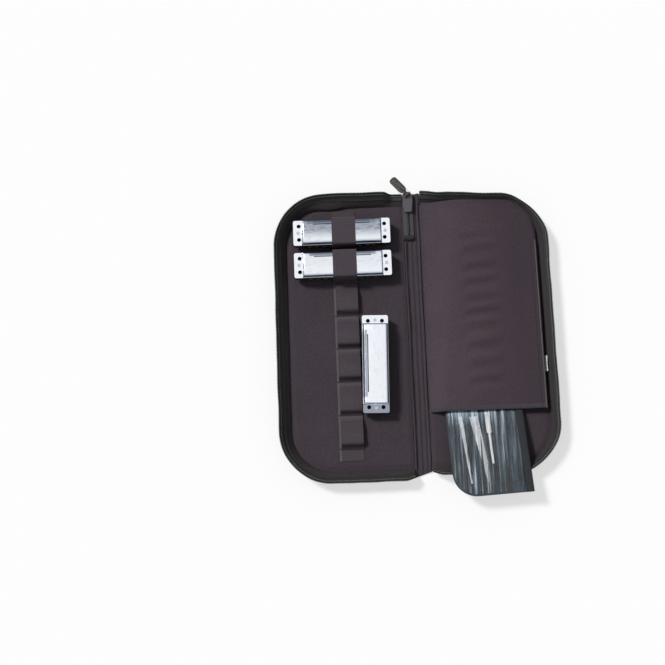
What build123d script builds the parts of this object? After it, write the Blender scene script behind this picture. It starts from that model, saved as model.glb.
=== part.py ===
from build123d import *
from math import asin, atan2, cos, degrees, hypot, radians, sin, tan
import os

# A soft zipped case for harmonicas, lying open and flat, with its contents in place.
# Millimetres. +Z is up, the spine runs along Y through the origin, the loops are on the
# -X half and the pocket on the +X half. Two fold axes beside the spine close the case.

os.makedirs("parts", exist_ok=True)

# ---- driving dimensions: the padded halves -------------------------------------------
spine_gap = 18.0  # between the two floor panels
floor_width = 125.0  # of one floor panel, from the spine outward
floor_length = 280.0
floor_corner = 42.0  # radius of a floor panel's outer corners
fold_height = 13.0  # of both fold axes above the table
cover_thickness = 0.9
board_thickness = 1.6
foam_thickness = 2.0
lining_thickness = 0.7
board_inset = 2.0
foam_inset = 1.4

# ---- the leaning walls, their zipper and piping --------------------------------------
wall_foot = 3.1  # height at which the wall leaves the floor seam
wall_seam = 11.0  # height at which gusset cloth meets zipper tape
rim_height = 18.6  # height of the zipper coil
wall_lean = 12.0  # how far the rim stands outside the floor edge
gusset_thickness = 1.2
tape_thickness = 0.9
coil_radius = 1.2
piping_radius = 1.4
seam_gap = 0.2  # between sewn neighbours of one half
cut_overshoot = 1.0  # how far a cut runs past the faces that it opens
end_gap = 0.2  # between a wall's end and the spine edge
tail_clearing = 12.0  # further that the left wall stops short of the spine, beside the tail

# ---- the strip of elastic loops ------------------------------------------------------
loop_count = 7
held_count = 2  # loops that hold a harmonica, from the top
loop_slack = 8.0  # what a loop is longer than a harmonica is wide
loop_top_gap = 12.5  # from the floor's top edge to the first stitch line
strip_x = -73.0
strip_width = 25.0
strip_thickness = 0.6
strip_top_gap = 4.0  # from the floor's edges to the strip's ends
strip_foot_gap = 10.0
elastic_thickness = 1.0
elastic_foot = 1.6  # flat length that is stitched down at each end of a loop
held_foot_round = 0.7
held_shoulder_round = 1.4
stitch_width = 1.2
stitch_height = 1.0
empty_loop_rise = 5.2
empty_loop_crown = 9.0  # half width of an empty loop's crown
empty_foot_round = 1.8
empty_crown_round = 4.0

# ---- harmonicas ----------------------------------------------------------------------
harp_length = 102.0
harp_width = 27.0
harp_corner = 2.0
comb_height = 6.6
plate_thickness = 1.0
cover_height = 5.7
cover_flange = 0.6
cover_wall = 1.0
cover_body_length = 84.0
cover_body_inset = 0.5
cover_round = 2.4
channel_count = 10
channel_pitch = 7.5
channel_width = 5.0
channel_depth = 20.0
corner_hole_radius = 2.1
corner_hole_from_end = 5.9
corner_hole_across = 14.6
screw_radius = 0.9
screw_clearance = 0.15
screw_head_radius = 1.7
screw_head_height = 0.8
screw_from_end = 5.0
rebate_length = 60.0
rebate_width = 3.2
rebate_depth = 0.7
slot_width = 1.0
sound_window_height = 3.0

held_harp_shift = -2.0  # of a held harmonica's middle from the strip's
loose_harp_gap = 1.8  # from the strip to the loose harmonica
loose_harp_y = -31.8
loose_harp_turn = -1.5  # degrees from the spine direction
rest_gap = 0.2  # under a thing that lies loose
harp_gap = 0.3  # between a harmonica and the elastic round it

# ---- pocket --------------------------------------------------------------------------
pocket_spine_gap = 1.0  # from the floor's spine edge
pocket_side_gap = 5.0  # from the floor's outer edge
pocket_foot_gap = 57.0  # from the floor's lower edge to the panel's free edge
pocket_wall_gap = 0.8  # to the leaning wall at its top end
pocket_corner_step = 2.0  # what its corner is tighter than the floor's
pocket_cloth = 1.0
pocket_slope_cloth = 1.15  # its thickness measured straight up where it slopes
pocket_side_cloth = 1.1
pocket_end_cloth = 1.2
pocket_seam_width = 1.5
pocket_seam_height = 1.2
pocket_shoulder_step = 0.3  # from the outside's bend to the inside's
pocket_side_step = 0.8
pocket_side_slope = 3.0
wallet_head_gap = 0.8  # between the wallet and the pocket panel's mouth over it
top_height = 6.3
mouth_rise = 12.0  # from the pocket's left seam to its full height, at the mouth
top_rise = 42.0
hem_length = 4.0
hem_step = 0.4
pocket_piping_radius = 0.9
pocket_piping_seat = 0.7  # height and side step of its middle over the panel's edge
pocket_piping_end_gap = 44.0  # from the floor's top edge
tag_length = 17.0
tag_middle = -31.0
tag_height = 5.2
tag_lean = 4.0
tag_thickness = 0.5
tag_seam_gap = 0.15  # between the tag and the pocket's side
tag_foot = 1.0  # height of the tag's foot above the lining

# ---- spine and the zipped tail -------------------------------------------------------
spine_overhang = 10.0  # of the spine panel past the floors, at both ends
spine_panel_width = 11.0
spine_panel_thickness = 2.2
fold_width = 3.0
fold_rise = 4.4
tail_x = -3.2
tail_width = 11.2
tail_length = 47.0
tail_lift = 1.4  # of the tail's tape above the spine panel
tail_tape_thickness = 0.8
tail_coil_radius = 1.1
tail_tab_length = 5.0

# ---- slider and pull tab -------------------------------------------------------------
slider_width = 10.4
slider_length = 22.0
slider_from_end = 6.0  # from the tail's end to the slider's middle
slider_plate = 1.0
slider_gap = 0.3
slider_post = 2.6
slider_nose = 0.75  # narrow end as a share of the width
slider_nose_round = 0.3  # corner radii as shares of half the width
slider_tail_round = 0.9
pivot_ahead = 7.5  # of the slider's middle
pivot_rise = 2.4  # of the pull's pivot above the slider
pivot_bar_radius = 0.8
pivot_bar_span = 6.4
pivot_post_radius = 0.9
pull_turn = 42.0  # degrees the pull points away from the spine direction
pull_length = 24.8
pull_width = 8.4
pull_neck_width = 3.2
pull_neck_length = 4.5
pull_thickness = 1.6
pull_eye_radius = 2.0

# ---- tool wallet ---------------------------------------------------------------------
wallet_width = 80.0
wallet_length = 110.0
wallet_round = 24.0  # of its outer left corner
wallet_small_round = 3.0
wallet_in_pocket = 19.0  # depth its inner end reaches past the mouth
wallet_side_gap = 13.5  # from the pocket's left seam to its inner left corner
wallet_turn = 3.0  # degrees
wallet_back = 0.9
wallet_space = 1.4
wallet_front = 0.6
wallet_weld = 2.5
wallet_rim_gap = 0.4  # between the wallet and the zipper coil under it
binding_width = 8.0
hang_hole_radius = 2.4
tool_gap = 0.1
flat_tool_thickness = 1.0
driver_handle_width = 4.6
driver_blade_width = 2.2
driver_thickness = 1.2
file_width = 6.0
file_tang_width = 2.4
file_thickness = 0.8

# ---- places in the wallet, as shares of its width and length ---------------------------
hang_hole_place = (0.44, 0.18)
reamer_outline = [(0.16, 0.24), (0.21, 0.24), (0.24, 0.88), (0.22, 0.88)]
scraper_outline = [(0.3, 0.25), (0.41, 0.25), (0.46, 0.68), (0.44, 0.89), (0.42, 0.82)]
driver_across = 0.53
driver_down = (0.22, 0.42, 0.71)  # its top, the end of its handle, its tip
file_across = (0.65, 0.78)
file_down = (0.14, 0.26, 0.89)  # its top, the end of its tang, its tip

# ---- derived places ------------------------------------------------------------------
spine_edge = spine_gap / 2
floor_edge = spine_edge + floor_width
half_length = floor_length / 2
lining_top = cover_thickness + board_thickness + foam_thickness + lining_thickness
strip_top = lining_top + strip_thickness
harp_height = comb_height + 2 * plate_thickness + 2 * cover_height
loop_pitch = harp_width + loop_slack
loop_top = half_length - loop_top_gap
held_harp_x = strip_x + held_harp_shift
held_harp_z = strip_top + rest_gap
loose_harp_x = strip_x + strip_width / 2 + loose_harp_gap + harp_width / 2
loose_harp_z = lining_top + rest_gap
wall_end = spine_edge + end_gap
left_wall_top_end = spine_edge + tail_clearing
spine_length = floor_length + 2 * spine_overhang
tail_high = spine_length / 2
tail_low = tail_high - tail_length
slider_middle = tail_high - slider_from_end
pivot_y = slider_middle + pivot_ahead
pocket_left = spine_edge + pocket_spine_gap
pocket_right = floor_edge - pocket_side_gap
pocket_mouth = pocket_foot_gap - half_length
pocket_corner = floor_corner - pocket_corner_step
mouth_shoulder = pocket_left + mouth_rise
top_shoulder = pocket_left + top_rise
pocket_piping_end = half_length - pocket_piping_end_gap
wallet_x = pocket_left + wallet_side_gap
wallet_y = pocket_mouth + wallet_in_pocket

# The wallet leans: its inner end lies just above the lining, and it passes over the rim.
wallet_turn_rad = radians(wallet_turn)
wallet_inner_z = lining_top + wallet_rim_gap
rim_run = wallet_y + half_length + wall_lean + tape_thickness / 2
rim_rise = rim_height - wallet_inner_z
wallet_pitch = atan2(rim_rise, rim_run) + asin(
    (coil_radius + wallet_rim_gap) / hypot(rim_run, rim_rise)
)
wallet_top = wallet_back + wallet_space + wallet_front
wallet_far_run = wallet_in_pocket + hem_length + wallet_width * sin(wallet_turn_rad)
mouth_height = (
    wallet_rim_gap
    + wallet_top
    + wallet_far_run * tan(wallet_pitch)
    + wallet_head_gap
    + pocket_cloth
)


def save(piece, name):
    """Label one finished piece and write it as its own file."""
    piece.part.label = name
    export_step(piece.part, f"parts/{name}.step")


# ---- the padded halves ---------------------------------------------------------------
def spread_at(height):
    """How far outside the floor edge the wall's inner face stands at a height."""
    return (height - wall_foot) * wall_lean / (rim_height - wall_foot)


def half_outline(side, spread, inner_edge):
    """Plan outline of one half, with its two outer corners rounded."""
    width = floor_edge + spread - inner_edge
    with Locations((side * (inner_edge + width / 2), 0)):
        Rectangle(width, floor_length + 2 * spread)
    outer_corners = vertices().group_by(Axis.X)[0 if side < 0 else -1]
    fillet(outer_corners, floor_corner + spread)


def make_layer(name, side, low, thickness, inset):
    """One flat layer of a padded floor panel."""
    with BuildPart() as layer:
        with BuildSketch(Plane.XY.offset(low)):
            half_outline(side, -inset, spine_edge + inset)
        extrude(amount=thickness)
    save(layer, name)


def leaning_block(side, low, high, outward, inner_edge, mode):
    """The space inside a leaning wall, between two heights, as a ruled loft."""
    with BuildSketch(Plane.XY.offset(low)) as foot:
        half_outline(side, spread_at(low) + outward, inner_edge)
    with BuildSketch(Plane.XY.offset(high)) as head:
        half_outline(side, spread_at(high) + outward, inner_edge)
    loft([foot.sketch, head.sketch], ruled=True, mode=mode)


def make_wall(name, side, low, high, thickness, top_end):
    """A leaning strip of wall round three sides of a half, cut back to top_end at its top."""
    cut_low = low - cut_overshoot
    cut_high = high + cut_overshoot
    with BuildPart() as wall:
        leaning_block(side, low, high, thickness, wall_end, Mode.ADD)
        leaning_block(side, cut_low, cut_high, 0, spine_edge / 2, Mode.SUBTRACT)
        with BuildSketch(Plane.XY.offset(cut_low)):
            with Locations((side * top_end / 2, half_length)):
                Rectangle(top_end, half_length)
        extrude(amount=cut_high - cut_low, mode=Mode.SUBTRACT)
    save(wall, name)


def make_edge_tube(name, side, height, spread, radius, top_end):
    """A round cord sewn along three sides of a half, which starts at top_end."""
    x = side * (floor_edge + spread)
    y = half_length + spread
    with BuildPart() as tube:
        with BuildLine(Plane.XY.offset(height)) as route:
            FilletPolyline(
                (side * top_end, y),
                (x, y),
                (x, -y),
                (side * wall_end, -y),
                radius=floor_corner + spread,
            )
        with BuildSketch(Plane(origin=route.line @ 0, z_dir=route.line % 0)):
            Circle(radius)
        sweep(path=route.line)
    save(tube, name)


def make_half(half, side, top_end):
    """The eight sewn pieces that both halves have; top_end is X of the wall's upper end."""
    board_low = cover_thickness
    foam_low = board_low + board_thickness
    lining_low = foam_low + foam_thickness
    make_layer(f"{half}_cover", side, 0, cover_thickness, 0)
    make_layer(f"{half}_board", side, board_low, board_thickness, board_inset)
    make_layer(f"{half}_foam", side, foam_low, foam_thickness, foam_inset)
    make_layer(f"{half}_lining", side, lining_low, lining_thickness, 0)
    make_wall(f"{half}_gusset", side, wall_foot, wall_seam, gusset_thickness, top_end)
    tape_top = rim_height - coil_radius - seam_gap / 2
    make_wall(f"{half}_zipper_tape", side, wall_seam, tape_top, tape_thickness, top_end)
    coil_spread = wall_lean + tape_thickness / 2
    coil_name = f"{half}_zipper_coil"
    make_edge_tube(coil_name, side, rim_height, coil_spread, coil_radius, top_end)
    spread = piping_radius + seam_gap
    height = piping_radius + seam_gap / 2
    make_edge_tube(f"{half}_piping", side, height, spread, piping_radius, wall_end)


# ---- the strip of elastic loops ------------------------------------------------------
def loop_middle(number):
    """Y of the middle of a loop, counted from 1 at the top."""
    return loop_top - (number - 0.5) * loop_pitch


def make_strip():
    high = half_length - strip_top_gap
    low = strip_foot_gap - half_length
    with BuildPart() as strip:
        with BuildSketch(Plane.XY.offset(lining_top)):
            with Locations((strip_x, (low + high) / 2)):
                Rectangle(strip_width, high - low)
        extrude(amount=strip_thickness)
    save(strip, "loop_strip_backing")


def make_loop(number, shoulder, rise, foot_run, shoulder_round):
    """An elastic band that arches over its place, on the line of its thickness's middle."""
    y = loop_middle(number)
    low = strip_top + elastic_thickness / 2
    outer = (loop_pitch - stitch_width) / 2 - seam_gap / 2
    knee = outer - elastic_foot
    with BuildPart() as loop:
        with BuildSketch(Plane.YZ.offset(strip_x - strip_width / 2)):
            with BuildLine():
                FilletPolyline(
                    (y - outer, low),
                    (y - knee, low),
                    (y - shoulder, low + rise),
                    (y + shoulder, low + rise),
                    (y + knee, low),
                    (y + outer, low),
                    radius=(foot_run, shoulder_round, shoulder_round, foot_run),
                )
            trace(line_width=elastic_thickness)
        extrude(amount=strip_width)
    save(loop, f"loop_{number}")


def make_loops():
    held_shoulder = harp_width / 2 + harp_gap + elastic_thickness / 2
    held_rise = rest_gap + harp_height + harp_gap
    for number in range(1, loop_count + 1):
        if number <= held_count:
            make_loop(
                number, held_shoulder, held_rise, held_foot_round, held_shoulder_round
            )
        else:
            make_loop(
                number, empty_loop_crown, empty_loop_rise, empty_foot_round, empty_crown_round
            )


def make_stitch_bars():
    with BuildPart() as bars:
        with BuildSketch(Plane.XY.offset(strip_top)):
            for line in range(loop_count + 1):
                with Locations((strip_x, loop_top - line * loop_pitch)):
                    Rectangle(strip_width, stitch_width)
        extrude(amount=stitch_height)
    save(bars, "loop_stitch_bars")


# ---- harmonicas ----------------------------------------------------------------------
def cut_holes(plane, depth):
    """The four corner holes and two screw holes, through the block that is being made."""
    corner_run = harp_length - 2 * corner_hole_from_end
    with BuildSketch(plane) as holes:
        with GridLocations(corner_run, corner_hole_across, 2, 2):
            Circle(corner_hole_radius)
        with GridLocations(harp_length - 2 * screw_from_end, 1, 2, 1):
            Circle(screw_radius + screw_clearance)
    extrude(holes.sketch, amount=depth, mode=Mode.SUBTRACT)


def make_comb(name, place):
    low = cover_height + plate_thickness
    with BuildPart() as comb:
        with BuildSketch(place.offset(low)):
            RectangleRounded(harp_length, harp_width, harp_corner)
            with Locations((0, -(harp_width - channel_depth + cut_overshoot) / 2)):
                with GridLocations(channel_pitch, 1, channel_count, 1):
                    channel_cut = channel_depth + cut_overshoot
                    Rectangle(channel_width, channel_cut, mode=Mode.SUBTRACT)
        extrude(amount=comb_height)
        cut_holes(place.offset(low), comb_height)
    save(comb, f"{name}_comb")


def make_reed_plates(name, place):
    lower = cover_height
    upper = cover_height + plate_thickness + comb_height
    with BuildPart() as plates:
        for low in (lower, upper):
            with BuildSketch(place.offset(low)):
                RectangleRounded(harp_length, harp_width, harp_corner)
            extrude(amount=plate_thickness)
        cut_holes(place.offset(lower), upper + plate_thickness - lower)
    save(plates, f"{name}_reed_plates")


def make_harp_cover(name, plane, back):
    """A pressed cover with its open side on the plane; back is the side of its sound window."""
    body_width = harp_width - 2 * cover_body_inset
    with BuildPart() as cover:
        with BuildSketch(plane):
            Rectangle(cover_body_length, body_width)
        extrude(amount=cover_height)
        top = cover.faces().sort_by(Axis(plane.origin, plane.z_dir))[-1]
        fillet(top.edges(), cover_round)
        with BuildSketch(plane):
            RectangleRounded(harp_length, harp_width, harp_corner)
        extrude(amount=cover_flange)
        with BuildSketch(plane):
            Rectangle(cover_body_length - 2 * cover_wall, body_width - 2 * cover_wall)
        extrude(amount=cover_height - cover_wall, mode=Mode.SUBTRACT)
        rebate_y = back * (body_width / 2 - cover_round - rebate_width / 2)
        with BuildSketch(plane.offset(cover_height - rebate_depth)):
            with Locations((0, rebate_y)):
                Rectangle(rebate_length, rebate_width)
        extrude(amount=rebate_depth, mode=Mode.SUBTRACT)
        with BuildSketch(plane.offset(cover_flange)):
            with Locations((0, rebate_y - back * (rebate_width - slot_width) / 2)):
                Rectangle(rebate_length, slot_width)
        extrude(amount=cover_height, mode=Mode.SUBTRACT)
        with BuildSketch(plane.offset(cover_flange)):
            with Locations((0, back * body_width / 2)):
                Rectangle(rebate_length, 3 * cover_wall)
        extrude(amount=sound_window_height, mode=Mode.SUBTRACT)
        cut_holes(plane, cover_height)
    save(cover, name)


def make_screws(name, place):
    """Two headed screws that hold the covers and plates on the comb."""
    head_low = cover_height - cover_flange - screw_head_height
    head_high = harp_height - cover_height + cover_flange
    with BuildPart() as screws:
        with BuildSketch(place.offset(head_low)):
            with GridLocations(harp_length - 2 * screw_from_end, 1, 2, 1):
                Circle(screw_head_radius)
        extrude(amount=screw_head_height)
        with BuildSketch(place.offset(head_low)):
            with GridLocations(harp_length - 2 * screw_from_end, 1, 2, 1):
                Circle(screw_radius)
        extrude(amount=head_high - head_low)
        with BuildSketch(place.offset(head_high)):
            with GridLocations(harp_length - 2 * screw_from_end, 1, 2, 1):
                Circle(screw_head_radius)
        extrude(amount=screw_head_height)
    save(screws, f"{name}_screws")


def make_harmonica(name, x, y, z, turn):
    """One ten-hole harmonica; its mouth side faces local -Y."""
    along = (cos(radians(turn)), sin(radians(turn)), 0)
    place = Plane(origin=(x, y, z), x_dir=along, z_dir=(0, 0, 1))
    top_plane = place.offset(harp_height - cover_height)
    under = place.offset(cover_height)
    under_plane = Plane(origin=under.origin, x_dir=along, z_dir=(0, 0, -1))
    make_comb(name, place)
    make_reed_plates(name, place)
    make_harp_cover(f"{name}_upper_cover", top_plane, 1)
    make_harp_cover(f"{name}_lower_cover", under_plane, -1)
    make_screws(name, place)


# ---- pocket --------------------------------------------------------------------------
def pocket_section(y, shoulder, height, grow):
    """Cross section of the pocket panel and its sides at one Y, grown outward by grow."""
    top = lining_top + height + grow
    with BuildSketch(Plane.XZ.offset(-y)) as section:
        with BuildLine():
            Polyline(
                (pocket_left, lining_top),
                (pocket_left, lining_top + pocket_seam_height + grow),
                (shoulder, top),
                (pocket_right - pocket_side_slope, top),
                (pocket_right + grow, lining_top),
                close=True,
            )
        make_face()
    return section.sketch


def pocket_space_section(y, shoulder, height):
    """Cross section of the space inside the pocket, which reaches below the lining's face."""
    run = shoulder - pocket_left
    seam_x = pocket_left + pocket_seam_width
    seam_rise = pocket_seam_width * (height - pocket_seam_height) / run
    foot_z = lining_top + pocket_seam_height + seam_rise - pocket_slope_cloth
    top = lining_top + height - pocket_cloth
    with BuildSketch(Plane.XZ.offset(-y)) as section:
        with BuildLine():
            Polyline(
                (seam_x, lining_top - pocket_cloth),
                (seam_x, foot_z),
                (shoulder + pocket_shoulder_step, top),
                (pocket_right - pocket_side_slope - pocket_side_step, top),
                (pocket_right - pocket_side_cloth, lining_top - pocket_cloth),
                close=True,
            )
        make_face()
    return section.sketch


def pocket_plan(low, high, inset, mouth):
    """Keep what is inside the pocket's plan outline, whose top end leans with the case wall."""
    outlines = []
    left = pocket_left - cut_overshoot
    right = pocket_right + cut_overshoot - inset
    for height in (low, high):
        top_end = half_length + spread_at(height) - pocket_wall_gap - inset
        with BuildSketch(Plane.XY.offset(height)) as outline:
            with BuildLine():
                Polyline(
                    (left, mouth), (right, mouth), (right, top_end), (left, top_end), close=True
                )
            make_face()
            corner = vertices().sort_by(Axis((0, 0, 0), (1, 1, 0)))[-1]
            fillet(corner, pocket_corner - inset)
        outlines.append(outline.sketch)
    loft(outlines, ruled=True, mode=Mode.INTERSECT)


def make_pocket():
    top_y = half_length + wall_lean
    low = lining_top - 2 * pocket_cloth
    high = lining_top + mouth_height + 2 * pocket_cloth
    past_mouth = pocket_mouth - cut_overshoot
    space_ends = [
        pocket_space_section(top_y, top_shoulder, top_height),
        pocket_space_section(past_mouth, mouth_shoulder, mouth_height),
    ]
    panel_ends = [
        pocket_section(top_y, top_shoulder, top_height, 0),
        pocket_section(pocket_mouth, mouth_shoulder, mouth_height, 0),
    ]
    with BuildPart() as space:
        loft(space_ends, ruled=True)
        pocket_plan(low, high, pocket_end_cloth, past_mouth)
    with BuildPart() as panel:
        loft(panel_ends, ruled=True)
        pocket_plan(low, high, 0, pocket_mouth)
        add(space.part, mode=Mode.SUBTRACT)
    save(panel, "pocket_panel")


def make_pocket_hem():
    inside = pocket_mouth + cut_overshoot
    space_section = pocket_space_section(inside, mouth_shoulder, mouth_height)
    hem_section = pocket_section(pocket_mouth, mouth_shoulder, mouth_height, hem_step)
    with BuildPart() as hem_space:
        extrude(space_section, amount=hem_length + 2 * cut_overshoot)
    with BuildPart() as hem:
        extrude(hem_section, amount=hem_length)
        add(hem_space.part, mode=Mode.SUBTRACT)
    save(hem, "pocket_hem")


def panel_height(y):
    """Height of the pocket panel above the lining at one Y."""
    share = (y - pocket_mouth) / (half_length + wall_lean - pocket_mouth)
    return mouth_height + share * (top_height - mouth_height)


def make_pocket_piping():
    edge_x = pocket_right - pocket_side_slope + pocket_piping_seat
    rise = lining_top + pocket_piping_seat
    start = (edge_x, pocket_mouth, rise + mouth_height)
    end = (edge_x, pocket_piping_end, rise + panel_height(pocket_piping_end))
    with BuildPart() as piping:
        with BuildLine() as route:
            Line(start, end)
        with BuildSketch(Plane(origin=start, z_dir=route.line % 0)):
            Circle(pocket_piping_radius)
        sweep(path=route.line)
    save(piping, "pocket_piping")


def make_tag():
    foot = (pocket_right + tag_seam_gap, lining_top + tag_foot)
    with BuildPart() as tag:
        with BuildSketch(Plane.XZ.offset(-tag_middle - tag_length / 2)):
            with BuildLine():
                Polyline(
                    foot,
                    (foot[0] + tag_thickness, foot[1]),
                    (foot[0] + tag_thickness + tag_lean, foot[1] + tag_height),
                    (foot[0] + tag_lean, foot[1] + tag_height),
                    close=True,
                )
            make_face()
        extrude(amount=tag_length)
    save(tag, "care_label")


# ---- spine and the zipped tail -------------------------------------------------------
tail_tape_low = spine_panel_thickness + tail_lift
tail_tape_high = tail_tape_low + tail_tape_thickness
tail_coil_z = tail_tape_high + tail_coil_radius + seam_gap / 4


def make_spine_panel():
    with BuildPart() as panel:
        with BuildSketch():
            Rectangle(spine_panel_width, spine_length)
        extrude(amount=spine_panel_thickness)
    save(panel, "spine_panel")


def make_spine_fold(name, side, low, high):
    """A gathered ridge of cloth between the spine panel and one half."""
    middle = side * (spine_panel_width / 2 + seam_gap + fold_width / 2)
    with BuildPart() as ridge:
        with BuildSketch(Plane.XZ.offset(-high)):
            with Locations((middle, seam_gap)):
                Ellipse(fold_width / 2, fold_rise - seam_gap)
                with Locations((0, -fold_rise)):
                    Rectangle(2 * fold_width, 2 * fold_rise, mode=Mode.SUBTRACT)
        extrude(amount=high - low)
    save(ridge, name)


def make_tail():
    with BuildPart() as tape:
        with BuildSketch(Plane.XY.offset(tail_tape_low)):
            with Locations((tail_x, (tail_low + tail_high) / 2)):
                Rectangle(tail_width, tail_high - tail_low)
        extrude(amount=tail_tape_thickness)
    save(tape, "tail_tape")
    coil_low = tail_low + tail_tab_length + seam_gap
    with BuildPart() as coil:
        with BuildSketch(Plane.XZ.offset(-tail_high)):
            with Locations((tail_x, tail_coil_z)):
                Circle(tail_coil_radius)
        extrude(amount=tail_high - coil_low)
    save(coil, "tail_coil")
    with BuildPart() as tab:
        with BuildSketch(Plane.XY.offset(spine_panel_thickness)):
            with Locations((tail_x, tail_low + tail_tab_length / 2)):
                Rectangle(tail_width, tail_tab_length)
        extrude(amount=tail_coil_z - spine_panel_thickness)
        with BuildSketch(Plane.XY.offset(tail_tape_low)):
            with Locations((tail_x, (tail_low + tail_high) / 2)):
                Rectangle(tail_width + 2 * cut_overshoot, tail_high - tail_low)
        extrude(amount=tail_tape_thickness, mode=Mode.SUBTRACT)
    save(tab, "tail_end_tab")


# ---- slider and pull tab -------------------------------------------------------------
slider_low = tail_tape_low - slider_gap - slider_plate
slider_roof = tail_coil_z + tail_coil_radius + slider_gap
slider_top = slider_roof + slider_plate
pivot_z = slider_top + pivot_rise
pull_turn_rad = radians(pull_turn)
pull_along = (-sin(pull_turn_rad), cos(pull_turn_rad), 0)
pull_across = (cos(pull_turn_rad), sin(pull_turn_rad), 0)


def slider_outline(height):
    """Plan outline of a slider plate, narrower at its closed end."""
    half = slider_width / 2
    low = slider_middle - slider_length / 2
    high = slider_middle + slider_length / 2
    with BuildSketch(Plane.XY.offset(height)) as outline:
        with BuildLine():
            Polyline(
                (tail_x - slider_nose * half, low),
                (tail_x + slider_nose * half, low),
                (tail_x + half, slider_middle),
                (tail_x + half, high),
                (tail_x - half, high),
                (tail_x - half, slider_middle),
                close=True,
            )
        make_face()
        fillet(vertices().group_by(Axis.Y)[-1], slider_tail_round * half)
        fillet(vertices().group_by(Axis.Y)[0], slider_nose_round * half)
    return outline.sketch


def make_slider():
    post_y = slider_middle + slider_length / 2 - slider_post
    with BuildPart() as slider:
        for low in (slider_low, slider_roof):
            extrude(slider_outline(low), amount=slider_plate)
        with BuildSketch(Plane.XY.offset(slider_low)):
            with Locations((tail_x, post_y)):
                Circle(slider_post / 2)
        extrude(amount=slider_top - slider_low)
        with BuildSketch(Plane.XY.offset(slider_roof)):
            for end in (-1, 1):
                reach = end * pivot_bar_span / 2
                spot = (tail_x + reach * pull_across[0], pivot_y + reach * pull_across[1])
                with Locations(spot):
                    Circle(pivot_post_radius)
        extrude(amount=pivot_z - slider_roof)
        bar_start = (
            tail_x - pivot_bar_span / 2 * pull_across[0],
            pivot_y - pivot_bar_span / 2 * pull_across[1],
            pivot_z,
        )
        with BuildSketch(Plane(origin=bar_start, z_dir=pull_across)):
            Circle(pivot_bar_radius)
        extrude(amount=pivot_bar_span)
    save(slider, "slider_body")


def make_pull_tab():
    place = Plane(
        origin=(tail_x, pivot_y, pivot_z - pull_thickness / 2),
        x_dir=pull_across,
        z_dir=(0, 0, 1),
    )
    eye_plane = Plane(origin=(tail_x, pivot_y, pivot_z), x_dir=pull_along, z_dir=pull_across)
    half = pull_width / 2
    neck = pull_neck_width / 2
    shoulder = pull_neck_length + half
    with BuildPart() as tab:
        with BuildSketch(place):
            with BuildLine():
                Polyline(
                    (half, pull_length - half),
                    (half, shoulder),
                    (neck, pull_neck_length),
                    (neck, 0),
                    (-neck, 0),
                    (-neck, pull_neck_length),
                    (-half, shoulder),
                    (-half, pull_length - half),
                )
                ThreePointArc(
                    (-half, pull_length - half), (0, pull_length), (half, pull_length - half)
                )
            make_face()
        extrude(amount=pull_thickness)
        with BuildSketch(eye_plane.offset(-neck)):
            Circle(pull_eye_radius)
        extrude(amount=pull_neck_width)
        with BuildSketch(eye_plane.offset(-pull_neck_width)):
            Circle(pivot_bar_radius + slider_gap)
        extrude(amount=2 * pull_neck_width, mode=Mode.SUBTRACT)
    save(tab, "pull_tab")


# ---- tool wallet ---------------------------------------------------------------------
wallet_across = (cos(wallet_turn_rad), sin(wallet_turn_rad), 0)
wallet_normal = (
    -sin(wallet_turn_rad) * sin(wallet_pitch),
    cos(wallet_turn_rad) * sin(wallet_pitch),
    cos(wallet_pitch),
)
wallet_plane = Plane(
    origin=(wallet_x, wallet_y, wallet_inner_z), x_dir=wallet_across, z_dir=wallet_normal
)


def wallet_spot(shares):
    """A point in the wallet's plane, from its shares of the wallet's width and length."""
    return (shares[0] * wallet_width, -shares[1] * wallet_length)


def wallet_outline(left, right, inner, outer):
    """A wallet outline inset from the sheet's edges, with its outer corners rounded."""
    with Locations(((left + wallet_width - right) / 2, (-inner - wallet_length + outer) / 2)):
        Rectangle(wallet_width - left - right, wallet_length - inner - outer)
    outer_corners = vertices().group_by(Axis.Y)[0].sort_by(Axis.X)
    fillet(outer_corners[0], wallet_round - max(left, outer))
    fillet(vertices().group_by(Axis.Y)[0].sort_by(Axis.X)[-1], wallet_small_round)


def make_wallet_back():
    with BuildPart() as back:
        with BuildSketch(wallet_plane):
            wallet_outline(0, binding_width, 0, 0)
            with Locations(wallet_spot(hang_hole_place)):
                Circle(hang_hole_radius, mode=Mode.SUBTRACT)
        extrude(amount=wallet_back)
    save(back, "wallet_back")


def make_wallet_front():
    """The clear sheet, welded to the back along its edges and open at the inner end."""
    with BuildPart() as front:
        with BuildSketch(wallet_plane.offset(wallet_back)):
            wallet_outline(0, binding_width, 0, 0)
        extrude(amount=wallet_space + wallet_front)
        with BuildSketch(wallet_plane.offset(wallet_back)):
            wallet_outline(wallet_weld, binding_width + wallet_weld, -1, wallet_weld)
        extrude(amount=wallet_space, mode=Mode.SUBTRACT)
        with BuildSketch(wallet_plane.offset(wallet_back)):
            with Locations(wallet_spot(hang_hole_place)):
                Circle(hang_hole_radius)
        extrude(amount=wallet_top, mode=Mode.SUBTRACT)
    save(front, "wallet_front")


def make_wallet_binding():
    with BuildPart() as binding:
        with BuildSketch(wallet_plane):
            with Locations((wallet_width - binding_width / 2, -wallet_length / 2)):
                Rectangle(binding_width, wallet_length)
            fillet(vertices().sort_by(Axis((0, 0, 0), (1, -1, 0)))[-1], wallet_small_round)
        extrude(amount=wallet_top)
    save(binding, "wallet_binding")


def make_flat_tool(name, outline):
    """A flat tool inside the wallet, from its outline in the wallet's own plane."""
    with BuildPart() as tool:
        with BuildSketch(wallet_plane.offset(wallet_back + tool_gap)):
            with BuildLine():
                Polyline(*[wallet_spot(shares) for shares in outline], close=True)
            make_face()
        extrude(amount=flat_tool_thickness)
    save(tool, name)


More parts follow.
